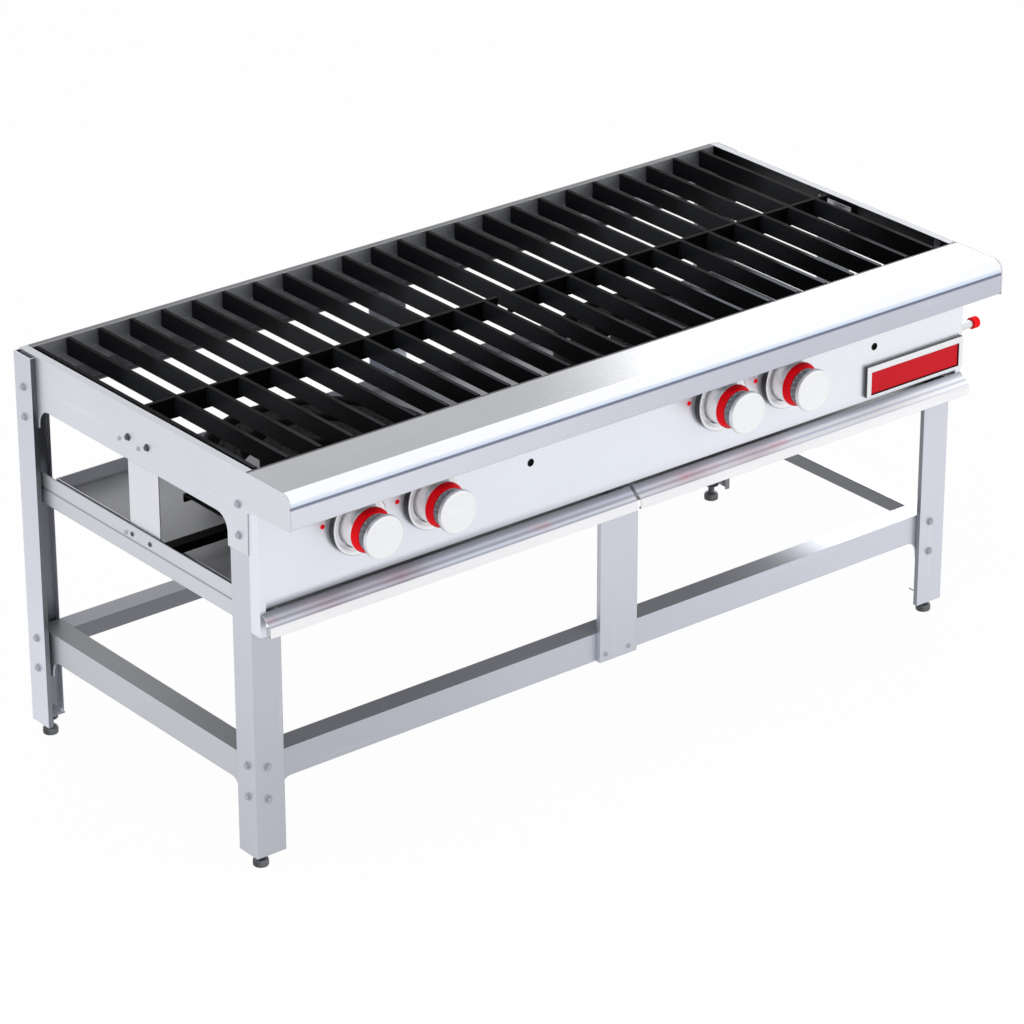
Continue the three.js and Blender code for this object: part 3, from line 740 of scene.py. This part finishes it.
BOLT = TurnedMetal("bolt zinc", (0.46, 0.48, 0.53), 0.36, 0.85)
DARK_BOLT = TurnedMetal("bolt dark", (0.10, 0.10, 0.115), 0.45, 0.6, wear=(0.3, 0.3, 0.32))
HOLE = TurnedMetal("sight tube black", (0.008, 0.008, 0.009), 0.5, 0.0, wear=(0.03, 0.03, 0.03), shine=0.2)
BADGE_EDGE = PlainMetal("badge silver", (0.92, 0.93, 0.95), 0.30, dim=0.08)
BADGE_FIELD = PlainMetal("badge red", (0.64, 0.002, 0.012), 0.48, 0.0, 0.02, wear=(0.7, 0.03, 0.04))
FLOOR = StudioFloor("studio floor", (0.86, 0.86, 0.87))

# The CAD nodes that keep their shape, by finish.
CARRIED: dict[Finish, str] = {
    LEG: "leg_front_right",
    LEG_NEAR: "leg_front_left",
    LEG_FAR: "leg_rear_left leg_rear_right",
    APRON: "rear_apron",
    SIDE: "side_panel_left side_panel_right",
    RAIL_X: "lower_rail_front tray_rail_centre",
    RAIL_BACK: "lower_rail_rear",
    RAIL_Y: "lower_rail_left tray_rail_left tray_rail_right",
    RAIL_FAR: "lower_rail_right",
    POST: "centre_post_front centre_post_rear",
    STRAP: "strap_left strap_right",
    PANEL: "control_panel",
    TRAY: "drip_tray_left drip_tray_right",
    GRATE: "grate_left grate_right",
    SUPPORT: "cross_brace burner_support_front",
    IRON: "burner_outer_left burner_outer_right burner_inner_left burner_inner_right",
    PIPE: "gas_manifold",
    BRASS: " ".join(f"valve_{knob}" for knob in KNOBS) + " pilot_line_left pilot_line_right",
    BADGE_EDGE: "badge_frame",
    BADGE_FIELD: "badge_plate",
}


# Mesh tools
def placed(name: str, data: bpy.types.ID) -> bpy.types.Object:
    """A new object in the scene.

    Args:
        name: The object's name.
        data: Its mesh, lamp or camera.

    Returns:
        The object, at the origin.
    """
    thing = bpy.data.objects.new(name, data)
    bpy.context.scene.collection.objects.link(thing)
    return thing


@dataclass
class Form:
    """Points in millimetres, faces as lists of point numbers, and each point's place on the UV map "turn"."""

    points: Array
    faces: list[list[int]]
    turn: Array

    def moved(self, x: float = 0.0, y: float = 0.0, z: float = 0.0) -> "Form":
        """The same form at another place."""
        return Form(self.points + np.array([x, y, z]), self.faces, self.turn)

    def turned(self, *axes: Array) -> "Form":
        """The form with other x, y and z values."""
        return Form(np.stack(axes, -1), self.faces, self.turn)

    def forwards(self) -> "Form":
        """The form with its up direction turned to the front (-Y)."""
        x, y, z = self.points.T
        return self.turned(x, -z, y)

    def backwards(self) -> "Form":
        """The form with its up direction turned to the back (+Y)."""
        x, y, z = self.points.T
        return self.turned(x, z, y)

    def sideways(self, sign: float) -> "Form":
        """The form with its up direction turned along X, to the right for 1 and the left for -1."""
        x, y, z = self.points.T
        return self.turned(z * sign, x, y)


def together(forms: Sequence[Form]) -> Form:
    """Several forms as one.

    Args:
        forms: The forms, which keep their order.

    Returns:
        The joined form.
    """
    starts = np.cumsum([0] + [len(form.points) for form in forms[:-1]])
    faces = [[i + start for i in face] for start, form in zip(starts.tolist(), forms) for face in form.faces]
    return Form(np.concatenate([f.points for f in forms]), faces, np.concatenate([f.turn for f in forms]))


def lathe(profile: Sequence[Span], segments: int = 48,
          swell: Callable[[Array, Array], Array] | None = None) -> Form:
    """Turns a profile round the up axis: point (i, j) is at radius r_i times swell(angle_j, h_i), height h_i.

    Args:
        profile: Radius and height pairs; a radius of 0 closes the form.
        segments: Steps round the axis.
        swell: Radius factor for an angle and a height.

    Returns:
        The turned form.
    """
    radius, height = np.array(profile, float).T
    angle = np.linspace(0.0, 2.0 * math.pi, segments, endpoint=False)
    reach = radius[:, None] * (swell(angle, height[:, None]) if swell else 1.0)
    axes = np.broadcast_arrays(reach * np.cos(angle), reach * np.sin(angle), height[:, None])
    run = np.concatenate([[0.0], np.cumsum(np.hypot(np.diff(radius), np.diff(height)))]) / 1000.0
    turn = np.stack(np.broadcast_arrays(angle / (2 * math.pi), run[:, None] * 10.0), -1)
    row = np.arange(len(radius) - 1)[:, None] * segments
    column = np.arange(segments)
    after = (column + 1) % segments
    quads = np.stack([row + column, row + after, row + segments + after, row + segments + column], -1)
    return Form(np.stack(axes, -1).reshape(-1, 3), quads.reshape(-1, 4).tolist(), turn.reshape(-1, 2))


def prism(outline: Array, x0: float, x1: float) -> Form:
    """A closed outline drawn out along X.

    Args:
        outline: K by 2 points in (y, z), against the clock seen from the right.
        x0: Where it starts.
        x1: Where it ends.

    Returns:
        The closed bar.
    """
    count = len(outline)
    ends = [np.column_stack([np.full(count, x), outline]) for x in (x0, x1)]
    around = np.arange(count)
    after = (around + 1) % count
    sides = np.stack([around, after, after + count, around + count], -1).tolist()
    caps = [around[::-1].tolist(), (around + count).tolist()]
    return Form(np.concatenate(ends), sides + caps, np.zeros((2 * count, 2)))


def arc(cu: float, cv: float, radius: float, start: float, end: float, steps: int) -> Array:
    """Points of an arc about (cu, cv), with angles in degrees."""
    angle = np.radians(np.linspace(start, end, steps + 1))
    return np.stack([cu + radius * np.cos(angle), cv + radius * np.sin(angle)], -1)


def offset(path: Array, thickness: float) -> Array:
    """A sheet's outline: an open path of K points, and the same path moved to its left by the thickness.

    At each corner the move is along the mean m of the two unit normals, divided by the square of m.

    Args:
        path: K by 2 points of the fold line.
        thickness: Sheet thickness.

    Returns:
        2 K by 2 points of the closed outline.
    """
    along = np.diff(path, axis=0)
    along /= np.linalg.norm(along, axis=1, keepdims=True)
    normal = np.stack([-along[:, 1], along[:, 0]], -1)
    mean = (np.concatenate([normal[:1], normal]) + np.concatenate([normal, normal[-1:]])) / 2.0
    moved = path + mean / (mean ** 2).sum(1, keepdims=True) * thickness
    return np.concatenate([path, moved[::-1]])


@dataclass(frozen=True)
class Piece:
    """A Blender piece of the object.

    Attributes:
        body: The CAD body it rides on.
        replaces: CAD nodes that it stands for.
        slot: The record's material slot; not used.
        crease: Angle in degrees above which an edge is sharp.
    """

    name: str
    form: Form
    finish: Finish
    body: str = "frame"
    replaces: tuple[str, ...] = ()
    slot: str | None = None
    crease: float = 38.0

    def add(self) -> None:
        """Makes the object at the origin and tells the frame about it."""
        mesh = bpy.data.meshes.new(self.name)
        mesh.from_pydata(at(self.form.points), [], self.form.faces)
        layer = mesh.uv_layers.new(name="turn")
        corners = np.empty(len(mesh.loops), np.int32)
        mesh.loops.foreach_get("vertex_index", corners)
        layer.data.foreach_set("uv", self.form.turn[corners].ravel())
        solid = bmesh.new()
        solid.from_mesh(mesh)
        bmesh.ops.remove_doubles(solid, verts=solid.verts, dist=1e-6)
        bmesh.ops.recalc_face_normals(solid, faces=solid.faces)
        solid.to_mesh(mesh)
        solid.free()
        mesh.shade_smooth()
        mesh.set_sharp_from_angle(angle=math.radians(self.crease))
        mesh.materials.append(self.finish.material())
        thing = placed(self.name, mesh)
        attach(thing, self.body)
        if self.replaces:
            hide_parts(*self.replaces)


# Controls
@dataclass
class Knobs:
    """The four gas knobs with their red rings and bezels, and a mark up and left of each."""

    flutes: int = 18
    flute_depth: float = 0.055
    fluted_part: Span = (45.5, 56.5)
    mark_at: Span = (-56.0, 9.0)

    def fluted(self, angle: Array, height: Array) -> Array:
        """Radius factor of the grip: 1 less flute depth times the 4th power of |sin(flutes angle / 2)|.

        Args:
            angle: Angles round the axis in radians.
            height: Heights, as a column.

        Returns:
            The factors, 1 above and below the flutes.
        """
        low, high = self.fluted_part
        wave = np.abs(np.sin(angle * self.flutes / 2.0)) ** 4
        return 1 - self.flute_depth * wave * ((height > low) & (height < high)).astype(float)

    def body(self) -> Form:
        """Skirt and waist."""
        return lathe([(0, 2), (29, 2), (31, 2.6), (32, 4.5), (32, 27), (31.6, 29.6), (30.5, 31), (26, 31),
                      (26, 43), (0, 43)], 64)

    def grip(self) -> Form:
        """The fluted grip, with a rounded lip at each end."""
        return lathe([(0, 43), (26.6, 43), (27.8, 43.6), (28, 45), (28, 46), (28, 48), (28, 54), (28, 56),
                      (28, 57), (27.4, 58), (0, 58)], 216, self.fluted)

    def cap(self) -> Form:
        """The flat cap with a shallow dished face."""
        return lathe([(0, 58), (31.2, 58), (32, 58.8), (32, 62.6), (31.6, 64.4), (30.4, 65.6), (28.6, 66),
                      (26.6, 65.9), (26.2, 65.5), (25.4, 65.5), (12, 65.2), (0, 65.1)], 72)

    def stem(self) -> Form:
        """The stem into the valve, with its flat left off."""
        return lathe([(0, -28), (3.4, -28), (4, -27.4), (4, 2.5), (0, 2.5)], 20)

    def ring(self) -> Form:
        """The conical red ring with a soft outer edge."""
        return lathe([(26.3, 31.3), (32.2, 31.3), (33, 32), (33, 33.6), (32.7, 34.6), (28.9, 42.2),
                      (28.2, 42.8), (26.8, 42.8), (26.3, 42.4), (26.3, 31.3)], 72)

    def bezel(self) -> Form:
        """The dished bezel behind the skirt."""
        return lathe([(34, 0.3), (45.6, 0.3), (46, 0.8), (46, 6.2), (45.7, 8.4), (44.8, 10.2), (43.4, 11),
                      (41.8, 10.8), (38, 8.4), (36, 7.6), (34.6, 7.3), (34, 6.8), (34, 0.3)], 80)

    def mark(self) -> Form:
        """A small domed index mark on the panel."""
        return lathe([(0, 0.02), (3.5, 0.02), (3.5, 0.5), (2.8, 0.9), (0, 1.1)], 24)

    def add(self) -> None:
        """Adds every control."""
        across, above = self.mark_at
        for name, x in KNOBS.items():
            body = f"knob_body_{name}"

            def put(form: Form) -> Form:
                """The form on the panel, facing forwards."""
                return form.forwards().moved(x, PANEL_Y, KNOB_Z)

            shell = together([self.body(), self.stem()])
            Piece(f"knob_skirt_{name}", put(shell), SKIRT, body, (f"knob_{name}",), "knob_silver").add()
            Piece(f"knob_grip_{name}", put(self.grip()), GRIP, body, crease=50.0).add()
            Piece(f"knob_cap_{name}", put(self.cap()), SILVER, body).add()
            Piece(f"ring_{name}", put(self.ring()), RED, body, (f"knob_ring_{name}",), "knob_red").add()
            Piece(f"bezel_dish_{name}", put(self.bezel()), BEZEL, "frame", (f"bezel_{name}",),
                  "bezel_silver").add()
            mark = self.mark().forwards().moved(x + across, PANEL_Y, KNOB_Z + above)
            Piece(f"mark_{name}", mark, RED).add()


# Small parts
@dataclass(frozen=True)
class Bolt:
    """A hex head on a washer, with its width across the flats and its height."""

    across: float = 8.0
    head: float = 3.4

    def form(self, spin: float = 0.0) -> Form:
        """Washer and head.

        Args:
            spin: Turn of the hexagon in radians.

        Returns:
            The bolt, pointing up from z = 0.
        """
        rim, top, half = self.across * 0.80, self.head, self.across / 2.0
        washer = lathe([(0, 0.02), (rim * 0.975, 0.02), (rim, 0.5), (rim * 0.925, 1), (0, 1)], 28)

        def hexagon(angle: Array, height: Array) -> Array:
            """Radius factor of a hexagon: 1 / cos of the angle from its nearest flat, up to a chamfer."""
            flat = 1.0 / np.cos(np.mod(angle + spin, math.pi / 3.0) - math.pi / 6.0)
            return np.minimum(flat, np.where(height > top + 0.4, 1.045, 1.2))

        head = lathe([(0, 1), (half, 1), (half, top), (half, top + 0.5), (half * 0.9, top + 0.9),
                      (half * 0.55, top + 0.8), (0, top + 0.7)], 48, hexagon)
        return together([washer, head])


@dataclass(frozen=True)
class Rivet:
    """A domed rivet or button-head screw with a small recess."""

    radius: float = 3.6
    height: float = 2.0

    def form(self) -> Form:
        """The domed head.

        Returns:
            The rivet, pointing up from z = 0.
        """
        r, h = self.radius, self.height
        return lathe([(0, 0.02), (r, 0.02), (r, h * 0.25), (r * 0.86, h * 0.62), (r * 0.62, h * 0.88),
                      (r * 0.38, h), (r * 0.34, h * 0.5), (0, h * 0.45)], 28)


@dataclass(frozen=True)
class Fasteners:
    """Bolts, screws and rivets of the folded sheet stand.

    Attributes:
        panel_side: X of the side panels' outer faces, and then of the legs' and tray rails' ones.
        back: Y of the rear faces.
        levels: Heights of the two panel bolts and the two rail bolts of a leg.
    """

    bolt: Bolt = Bolt()
    rivet: Rivet = Rivet()
    panel_side: float = 650.0
    leg_side: float = 647.7
    rear_side: float = 658.3
    rail_side: float = 645.4
    back: float = 545.0
    levels: tuple[float, ...] = (558.0, 512.0, 162.0, 114.0)

    def both(self, places: Sequence[tuple[Form, float, float, float]]) -> Form:
        """Fixings on the right side and their likes on the left, each with its face's X, its Y and its Z."""
        return together([form.sideways(sign).moved(sign * face, y, z) for sign in (-1.0, 1.0)
                         for form, face, y, z in places])

    def sides(self) -> Form:
        """Bolts on the outer faces of the four legs and of the side panels.

        Returns:
            The bolts as one form.
        """
        faces = (self.panel_side, self.panel_side, self.leg_side, self.leg_side)
        front = [(self.bolt.form(17.5), face, 17.5, z) for face, z in zip(faces, self.levels)]
        rear = [(self.bolt.form(z), self.rear_side, y, z) for y, z in zip((524, 524, 523, 523), self.levels)]
        return self.both(front + rear)

    def fronts(self) -> Form:
        """Bolts on the front flanges of the front legs, and the two screws of the post.

        Returns:
            The bolts and screws as one form.
        """
        forms = [self.bolt.form(x).forwards().moved(x, z=z) for x in (-626.5, 619.0) for z in (160.0, 110.0)]
        forms += [self.rivet.form().forwards().moved(x, z=139.5) for x in (-24.0, 19.0)]
        return together(forms)

    def backs(self) -> Form:
        """Bolts on the rear faces."""
        places = [(x, z) for x in (-634.0, 634.0) for z in (560.0, *self.levels[1:])]
        return together([self.bolt.form(z).backwards().moved(x, self.back, z) for x, z in places])

    def straps(self) -> Form:
        """Dark screws that hold the straps to the side panels and the tray rails.

        Returns:
            The screws as one form.
        """
        upper = [(Bolt(7.0, 3.0).form(y), self.panel_side, y, 565.0) for y in (276.0, 230.0)]
        lower = [(self.rivet.form(), self.rail_side, y, 414.0) for y in (282.0, 239.0)]
        return self.both(upper + lower)

    def nuts(self) -> Form:
        """Pale button heads beside the dark screws of the straps.

        Returns:
            The heads as one form.
        """
        small = Rivet(3.4, 2.2).form()
        upper = [(small, self.panel_side, y, 556.0) for y in (297.0, 251.0)]
        return self.both(upper + [(small, self.rail_side, 297.0, 411.5)])

    def add(self) -> None:
        """Adds the fixings as combined meshes."""
        Piece("nuts_straps", self.nuts(), BOLT).add()
        Piece("bolts_sides", self.sides(), BOLT).add()
        Piece("bolts_fronts", self.fronts(), BOLT).add()
        Piece("bolts_backs", self.backs(), BOLT).add()
        Piece("bolts_straps", self.straps(), DARK_BOLT).add()


@dataclass(frozen=True)
class Feet:
    """The levelling feet: a domed pad, a lock nut under the leg's plate and a threaded stud."""

    places: tuple[tuple[str, Span], ...] = (("front", (629.7, 18.0)), ("rear", (640.3, 527.0)))
    nut_z: float = 25.6

    def stud(self) -> Form:
        """The stud: a thread of rings, radius 5 less 0.5 between crests, pitch 1.5.

        Returns:
            The upright stud.
        """
        height = np.arange(12.0, 61.0, 0.75)
        crest = np.where(np.arange(len(height)) % 2 == 0, 5.0, 4.5)
        return lathe([(0, 11), (5, 11), *zip(crest.tolist(), height.tolist()), (4.2, 62), (0, 62)], 24)

    def pad(self) -> Form:
        """The rounded pad that stands on the floor."""
        return lathe([(0, 0), (9.6, 0), (10.9, 0.6), (11.5, 1.9), (11.5, 7.4), (11, 9.6), (9.6, 11.3),
                      (7.4, 12), (5, 12.2), (0, 12.2)], 48)

    def add(self) -> None:
        """Adds the four feet."""
        foot = together([self.pad(), self.stud(), Bolt(15.0, 5.0).form().moved(z=self.nut_z)])
        for end, (x, y) in self.places:
            for side, sign in zip(SIDES, (-1.0, 1.0)):
                corner = f"{end}_{side}"
                Piece(f"foot_pad_{corner}", foot.moved(sign * x, y), ZINC, f"levelling_foot_{corner}",
                      (f"foot_{corner}",), "foot_zinc").add()


@dataclass(frozen=True)
class Gas:
    """The inlet's red thread cap, the sight tubes behind the pilot holes, and the burners' ports.

    Attributes:
        sections: X of the two sections' centres.
        sight_x: X of a sight tube from its section's centre.
        rows: Radius and number of ports of each row.
    """

    sections: Span = (-325.0, 325.0)
    burner_y: float = 267.0
    burner_z: float = 460.0
    sight_x: float = 144.0
    cap_x: float = 699.0
    rows: tuple[tuple[float, int], ...] = ((126.0, 60), (144.0, 68), (46.0, 24), (62.0, 32), (78.0, 40))

    def cap(self) -> Form:
        """The thread cap: a cup with grip ribs round its side, radius 9 less 0.3 between ribs.

        Returns:
            The cap, its mouth at z = 0.
        """
        def ribbed(angle: Array, height: Array) -> Array:
            """Radius factor: 1 less 0.03 times the 3rd power of |sin(12 angle)|."""
            wave = np.abs(np.sin(angle * 12.0)) ** 3
            return 1 - 0.03 * wave * ((height > 1.6) & (height < 10.0))

        return lathe([(6.1, 0), (8.6, 0), (9, 0.4), (9, 1.5), (8.9, 2.2), (8.9, 9.4), (8.9, 10.6),
                      (8.5, 11.9), (7.6, 12.7), (6.6, 13), (0, 13)], 144, ribbed)

    def nipple(self) -> Form:
        """The threaded inlet outside the panel: radius 5.98 less 0.14 between crests, pitch 1.6.

        Returns:
            The inlet, with X of the machine as its height.
        """
        run = np.arange(652.0, 698.0, 0.8)
        crest = np.where(np.arange(len(run)) % 2 == 0, 5.98, 5.84)
        return lathe([(5.82, 651), *zip(crest.tolist(), run.tolist()), (5.82, 698.4), (5.6, 698.4),
                      (5.6, 651), (5.82, 651)], 32)

    def sight(self) -> Form:
        """A short dark tube with a rolled mouth behind the panel's pilot hole."""
        return lathe([(4.5, -6), (5.5, -6), (5.5, -0.6), (5.3, 0.2), (4.9, 0.5), (4.5, 0.2), (4.4, -3),
                      (0, -3.2), (0, -6), (4.5, -6)], 36)

    def ports(self, centre: float) -> Form:
        """One section's rows of raised ports, left out where the mixer tubes pass.

        Args:
            centre: X of the section's centre.

        Returns:
            The ports as one form.
        """
        port = lathe([(0, -0.4), (2.6, -0.4), (2.4, 0.5), (2, 0.8), (1.5, 0.5), (1.2, 0.2), (0, 0.1)], 10)
        forms = []
        for radius, count in self.rows:
            for angle in (2.0 * math.pi * i / count for i in range(count)):
                x, y = radius * math.cos(angle), radius * math.sin(angle)
                if not (math.sin(angle) < -0.35 and -115.0 < x < -10.0):
                    forms.append(port.moved(centre + x, self.burner_y + y, self.burner_z))
        return together(forms)

    def add(self) -> None:
        """Adds the gas parts."""
        cap = self.cap().sideways(1.0).moved(self.cap_x, INLET_Y, INLET_Z)
        Piece("inlet_thread", self.nipple().sideways(1.0).moved(0.0, INLET_Y, INLET_Z), NIPPLE).add()
        Piece("thread_cap", cap, CAP, "inlet_cap_body", ("inlet_cap",), "cap_red").add()
        for side, centre in zip(SIDES, self.sections):
            sight = self.sight().forwards().moved(centre + self.sight_x, PANEL_Y, KNOB_Z)
            Piece(f"sight_tube_{side}", sight, HOLE).add()
            Piece(f"burner_ports_{side}", self.ports(centre), PORT).add()


# Ledge and grates
@dataclass(frozen=True)
class Ledge:
    """The front ledge as one smooth folded sheet, with its rounded nose and creased apron.

    Attributes:
        shelf: Height of the shelf under the grates.
        half: Half its length.
        sheet: Sheet thickness.
    """

    reach: float = 99.0
    top: float = 610.0
    round: float = 17.0
    crease: float = 593.0
    bottom: float = 558.0
    shelf: float = 583.6
    half: float = 647.7
    sheet: float = 2.0

    def path(self) -> Array:
        """The fold line in (y, z), from the grates' shelf over the top and round the nose.

        Returns:
            K by 2 points in (y, z).
        """
        nose = arc(-(self.reach - self.round), self.top - self.round, self.round, 90, 180, 24)
        foot = arc(-(self.reach - 4), self.bottom + 4, 4, 180, 270, 8)
        return np.concatenate([
            [[28, self.shelf], [3.0, self.shelf]], arc(3.0, self.shelf + 1.0, 1.0, 270, 180, 4)[1:],
            arc(0.2, 608.2, 1.8, 0, 90, 8), nose,
            [[-self.reach, self.crease - 1], [-(self.reach - 1.6), self.crease - 2.5],
             [-self.reach, self.crease - 4]], foot, [[-(self.reach - 22), self.bottom]]])

    def add(self) -> None:
        """Adds the ledge in place of its CAD node."""
        form = prism(offset(self.path(), self.sheet), -self.half, self.half)
        Piece("ledge_sheet", form, NOSE, "frame", ("front_ledge",), "stainless_panel", 30.0).add()


@dataclass(frozen=True)
class Welds:
    """Weld beads where each flat bar crosses the cross bar of its grate.

    Attributes:
        firsts: X of the left face of each grate's first bar.
        beads: X of the two beads of a bar from its left face.
        rows: Y of the beads before and behind the cross bar.
    """

    bars: int = 12
    pitch: float = 54.0
    firsts: Span = (-632.9, 10.1)
    beads: Span = (-0.2, 6.6)
    rows: Span = (261.4, 268.0)
    foot: float = 584.6

    def bead(self) -> Form:
        """One upright bead: a lumpy rod, its radius 1.35 with ripples of 0.22 every 2.2.

        Returns:
            The bead.
        """
        height = np.arange(0.0, 23.0, 0.55)
        radius = 1.35 + 0.22 * np.sin(height * 2.0 * math.pi / 2.2)
        return lathe([(0, -0.3), *zip(radius.tolist(), height.tolist()), (0, 23)], 10)

    def add(self) -> None:
        """Adds the beads of both grates."""
        bead = self.bead()
        for side, first in zip(SIDES, self.firsts):
            xs = [first + self.pitch * i + dx for i in range(self.bars) for dx in self.beads]
            forms = [bead.moved(x, y, self.foot) for x in xs[1:] for y in self.rows]
            Piece(f"welds_{side}", together(forms), GRATE, f"grate_body_{side}").add()


# Studio
@dataclass(frozen=True)
class Lamp:
    """A soft rectangular lamp, in metres and watts; mirror says whether metal may mirror it."""

    name: str
    place: Triple
    target: Triple
    power: float
    size: Span
    mirror: bool = False

    def add(self) -> None:
        """Adds the lamp, hidden from the camera."""
        light = bpy.data.lights.new(self.name, "AREA")
        light.shape = "RECTANGLE"
        light.size, light.size_y = self.size
        light.energy = self.power
        thing = placed(self.name, light)
        aim = (Vector(self.target) - Vector(self.place)).to_track_quat("-Z", "Y")
        thing.matrix_world = Matrix.Translation(self.place) @ aim.to_matrix().to_4x4()
        thing.visible_camera = False
        thing.visible_glossy = self.mirror


@dataclass(frozen=True)
class Studio:
    """Camera, floor, world and lamps.

    Attributes:
        azimuth: Camera's bearing in degrees, 0 in front.
        elevation: Camera's height above the horizon in degrees.
        eye: Camera's place in metres.
        lens: Focal length for a sensor 36 mm wide.
        fill: World strength for diffuse light; the camera, mirrors and glass see 1.
    """

    azimuth: float = -38.74
    elevation: float = 25.26
    roll: float = -0.12
    eye: Triple = (-3.79145, -4.6696, 3.1079)
    lens: float = 158.6
    fill: float = 0.66
    lamps: tuple[Lamp, ...] = (
        Lamp("lamp_top", (-0.6, -0.6, 3.4), (0.0, 0.0, 0.3), 18.0, (3.0, 3.0)),
        Lamp("lamp_left", (-3.6, -0.6, 1.8), (0.0, 0.0, 0.4), 26.0, (2.0, 2.0)),
        Lamp("lamp_front", (1.9, -3.4, 1.6), (0.6, 0.0, 0.4), 36.0, (1.6, 1.6)),
        Lamp("lamp_right", (5.3, 3.95, 3.0), (0.4, -0.25, 0.61), 30.0, (2.4, 1.6), mirror=True),
    )

    def camera(self) -> None:
        """Adds the camera at the photograph's viewing angle."""
        a, e, r = (math.radians(v) for v in (self.azimuth, self.elevation, self.roll))
        right = Vector((math.cos(a), math.sin(a), 0.0))
        back = Vector((math.sin(a) * math.cos(e), -math.cos(a) * math.cos(e), math.sin(e)))
        up = back.cross(right)
        axes = (right * math.cos(r) + up * math.sin(r), up * math.cos(r) - right * math.sin(r), back)
        data = bpy.data.cameras.new("camera")
        data.lens, data.sensor_width, data.sensor_fit = self.lens, 36.0, "AUTO"
        data.clip_end = 100.0
        thing = placed("camera", data)
        thing.matrix_world = Matrix.Translation(self.eye) @ Matrix(axes).transposed().to_4x4()
        bpy.context.scene.camera = thing

    def world(self) -> None:
        """White for the camera, mirrors and glass, softer for diffuse light."""
        world = bpy.data.worlds.new("studio")
        world.use_nodes = True
        bpy.context.scene.world = world
        web = Web(world.node_tree)
        direct = web.node("LightPath", output="Is Camera Ray")
        mirror = web.node("LightPath", output="Is Glossy Ray")
        clear = web.node("LightPath", output="Is Transmission Ray")
        rest = 1 - self.fill
        strength = self.fill + direct * rest + mirror * rest + clear * rest
        light = web.node("Background", None, {"Color": (1.0, 1.0, 1.0, 1.0), "Strength": strength})
        web.node("OutputWorld", None, {0: light})

    def floor(self) -> None:
        """Adds the floor, which isn't part of the object."""
        mesh = bpy.data.meshes.new("floor")
        mesh.from_pydata([(-9, -9, 0), (9, -9, 0), (9, 9, 0), (-9, 9, 0)], [], [(0, 1, 2, 3)])
        mesh.materials.append(FLOOR.material())
        placed("floor", mesh)

    def add(self) -> None:
        """Adds the studio."""
        self.camera()
        self.world()
        self.floor()
        for lamp in self.lamps:
            lamp.add()
        bpy.context.scene.view_settings.view_transform = "Standard"


@dataclass(frozen=True)
class Range:
    """The whole object: the frame's CAD nodes by name and the pieces added to them."""

    nodes: dict[str, bpy.types.Object]

    def repaint(self) -> None:
        """Gives every carried-over CAD node its finish."""
        for finish, names in CARRIED.items():
            material = finish.material()
            for name in names.split():
                for slot in self.nodes[name].material_slots:
                    slot.material = material

    def add(self) -> None:
        """Builds every sub-assembly."""
        for part in (Knobs(), Ledge(), Fasteners(), Feet(), Gas(), Welds()):
            LOG.info("building %s", type(part).__name__)
            part.add()
        self.repaint()


def main() -> None:
    logging.basicConfig(level=logging.INFO, format="%(name)s: %(message)s")
    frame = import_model()
    Studio().add()
    Range(frame["nodes"]).add()
    bpy.context.view_layer.update()


if __name__ == "__main__":
    main()
